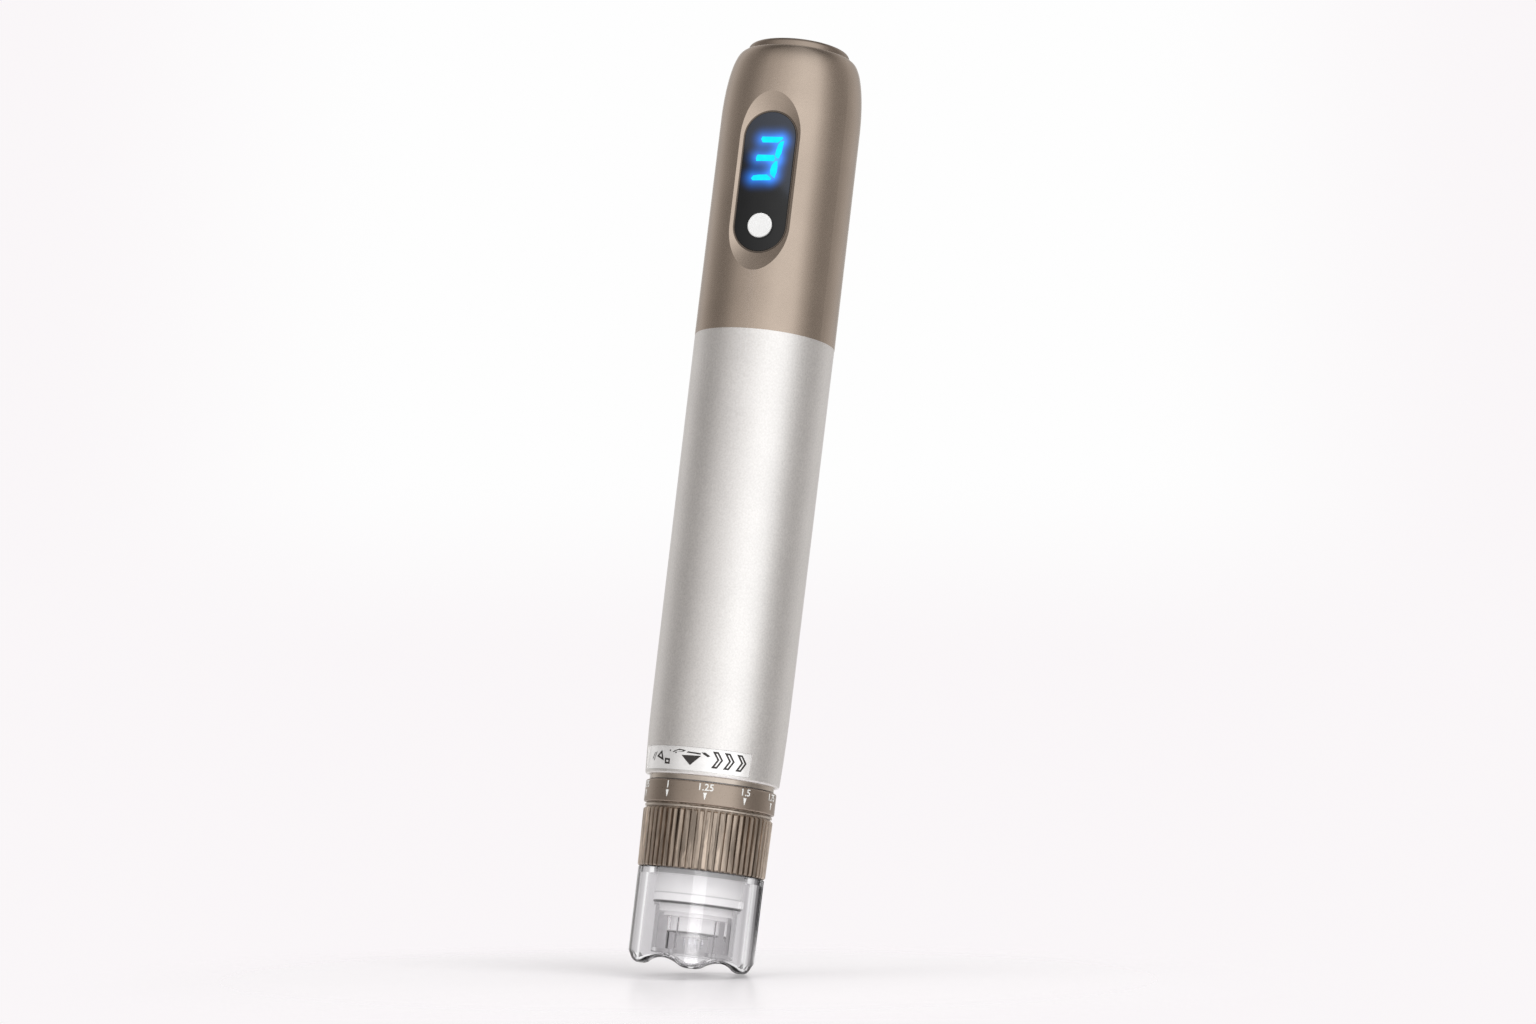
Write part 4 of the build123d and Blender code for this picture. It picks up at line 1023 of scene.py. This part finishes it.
def wound_coil(name, ring_radius, turns, bottom, top):
    """A coil of round wire between two heights in millimetres, with closed ends."""
    deselect_all()
    bpy.ops.mesh.primitive_circle_add(
        vertices=spring_corners,
        radius=spring_wire / 2 * MM,
        location=(ring_radius * MM, 0, (bottom + spring_wire / 2) * MM),
        rotation=(radians(90), 0, 0),
    )
    coil = bpy.context.object
    coil.name = coil.data.name = name
    bpy.ops.object.transform_apply(location=True, rotation=True, scale=True)
    winding = coil.modifiers.new("winding", "SCREW")
    winding.axis = "Z"
    winding.angle = 2 * pi
    winding.iterations = turns
    winding.screw_offset = (top - bottom - spring_wire) / turns * MM
    winding.steps = winding.render_steps = spring_steps
    bpy.ops.object.modifier_apply(modifier=winding.name)
    bpy.ops.object.mode_set(mode="EDIT")
    bpy.ops.mesh.select_all(action="SELECT")
    bpy.ops.mesh.fill_holes(sides=0)
    bpy.ops.object.mode_set(mode="OBJECT")
    settle(coil)
    coil.select_set(True)
    bpy.ops.object.shade_smooth_by_angle(angle=sharp_angle)
    return coil


for node, joint, body, turns in springs:
    low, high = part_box(node)
    ring_radius = (high.x - low.x) / 2 / MM - spring_wire / 2
    coil = wound_coil(node + "_coil", ring_radius, turns, low.z / MM, high.z / MM)
    dress(coil, finishes["spring_steel"], body)
    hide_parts(node)
    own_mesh(coil)

# %% [markdown]
# ## The depth scale
#
# Ten numbers stand round the scale ring with a small tick under each, from 0.25 to 2.5. A text
# object is made a mesh, given a little thickness, and wrapped round the pen's axis point by
# point, because the letters have to follow the ring.

# %% Helpers for marks on round faces
letter_half_depth = 0.03 * MM
letter_bolder = 0.02 * MM


def wrapped_round(piece, radius, azimuth, height):
    """Wraps a flat piece, drawn in X and Z with its face towards -Y, round the pen's axis."""
    for vertex in piece.data.vertices:
        angle = azimuth + vertex.co.x / radius
        out = radius - vertex.co.y
        vertex.co = Vector((sin(angle) * out, -cos(angle) * out, vertex.co.z + height))
    piece.data.update()


def flat_text(words, size):
    """Text as a thin mesh, centred, drawn in X and Z."""
    deselect_all()
    bpy.ops.object.text_add()
    text = bpy.context.object
    text.data.body = words
    text.data.align_x = "CENTER"
    text.data.align_y = "CENTER"
    text.data.size = size
    text.data.resolution_u = 2
    text.data.extrude = letter_half_depth
    text.data.offset = letter_bolder
    bpy.ops.object.convert(target="MESH")
    text = bpy.context.object
    text.rotation_euler = (radians(90), 0, 0)
    settle(text)
    return text


def join_pieces(pieces, name):
    """One mesh from several pieces."""
    deselect_all()
    for piece in pieces:
        piece.select_set(True)
    bpy.context.view_layer.objects.active = pieces[0]
    bpy.ops.object.join()
    joined = bpy.context.object
    joined.name = joined.data.name = name
    return joined


print("letters are", 2 * letter_half_depth / MM, "mm thick")

# %% Model the numbers and ticks
mark_proud = 0.03 * MM
scale_radius = 12.15
scale_face = scale_radius * MM + mark_proud
mark_count = 10
mark_depth = 0.25
scale_step = 36
# the number 1 is the one just left of the display, and three smaller ones come before it
one_azimuth, marks_before_one = -23.4, 3
first_mark = one_azimuth - marks_before_one * scale_step
number_height = 32.4 * MM
number_size = 1.8 * MM
tick_outline = [(-0.34, 31.45), (0.34, 31.45), (0.05, 30.2), (-0.05, 30.2)]
numbers, ticks = [], []
for step in range(mark_count):
    azimuth = radians(first_mark + scale_step * step)
    number = flat_text(f"{mark_depth * (step + 1):g}", number_size)
    wrapped_round(number, scale_face, azimuth, number_height)
    numbers.append(number)
    tick = flat_plate("tick", tick_outline)
    wrapped_round(tick, scale_face, azimuth, 0)
    ticks.append(tick)
scale_numbers = join_pieces(numbers, "scale_numbers")
scale_ticks = join_pieces(ticks, "scale_ticks")
engraved = grained("engraved_white", (0.76, 0.76, 0.74), 0, 0.3, 3.0, 0.2, 0.05)
dress(scale_numbers, engraved, "depth_collar")
dress(scale_ticks, engraved, "depth_collar")

# %% [markdown]
# ## Marks on the polished band
#
# A black triangle points at the scale, dashes stand above it, and outlined arrows show which
# way to turn. They are thin inlays, drawn flat and wrapped like the numbers. An outline is a
# plate whose inside is inset and taken out.

# %% Model the marks
band_radius = 12.48
band_face = band_radius * MM + mark_proud
degree = radians(1) * band_radius
inlay = 0.06
inlay_cuts = 4
line = 0.33


def on_band(name, points, outlined=False):
    """An inlay from (azimuth in degrees, height in millimetres) points."""
    middle = sum(angle for angle, height in points) / len(points)
    corners = [((angle - middle) * degree, height) for angle, height in points]
    plate = flat_plate(name, corners, inlay, inlay_cuts, line if outlined else 0)
    wrapped_round(plate, band_face, radians(middle), 0)
    return plate


long_dash = [(-21.5, 38.3), (-19.5, 38.62), (-14.6, 39.0), (-8.2, 38.8), (-10.4, 38.5), (-16.5, 38.45)]
marks = [
    on_band("pointer", [(-12.0, 37.9), (5.7, 38.02), (-3.2, 36.15)]),
    on_band("dash", long_dash),
    on_band("dash", [(-7.6, 38.4), (-6.4, 38.64), (5.2, 38.52), (5.0, 38.22)]),
    on_band("dash", [(5.6, 38.66), (9.0, 38.7), (13.4, 38.12), (11.4, 37.9), (7.6, 38.3)]),
    on_band("dot", [(-24.9, 38.6), (-24.1, 38.78), (-23.2, 38.6), (-24.1, 38.42)]),
    on_band("dot", [(-18.6, 38.22), (-17.8, 38.4), (-16.9, 38.28), (-17.8, 38.1)]),
    on_band("stroke", [(-44.3, 38.2), (-43.5, 38.2), (-47.1, 37.0), (-47.9, 37.0)]),
    on_band("stroke", [(-41.8, 38.3), (-41.0, 38.3), (-44.6, 36.7), (-45.4, 36.7)]),
    on_band("small_triangle", [(-34.0, 38.6), (-40.5, 37.45), (-30.6, 36.7)], outlined=True),
    on_band("small_square", [(-29.4, 37.2), (-23.4, 37.1), (-23.2, 36.1), (-28.8, 36.15)], outlined=True),
]
print("marks:", len(marks))

# %% Model the arrows
arrow_tips = (24.5, 34.5, 45.3)
arrow_reach = 9.5
arrow_width = 5.0
arrow_foot, arrow_middle, arrow_head = 36.0, 37.6, 39.05
for tip in arrow_tips:
    tail = tip - arrow_reach
    arrow = [
        (tail, arrow_head),
        (tail + arrow_width, arrow_head),
        (tip, arrow_middle),
        (tail + arrow_width, arrow_foot),
        (tail, arrow_foot),
        (tip - arrow_width, arrow_middle),
    ]
    marks.append(on_band("arrow", arrow, outlined=True))

band_marks = join_pieces(marks, "band_marks")
ink = grained("band_ink", (0.025, 0.022, 0.02), 0, 0.4, 2.0, 0.2, 0.1)
dress(band_marks, ink, "housing")
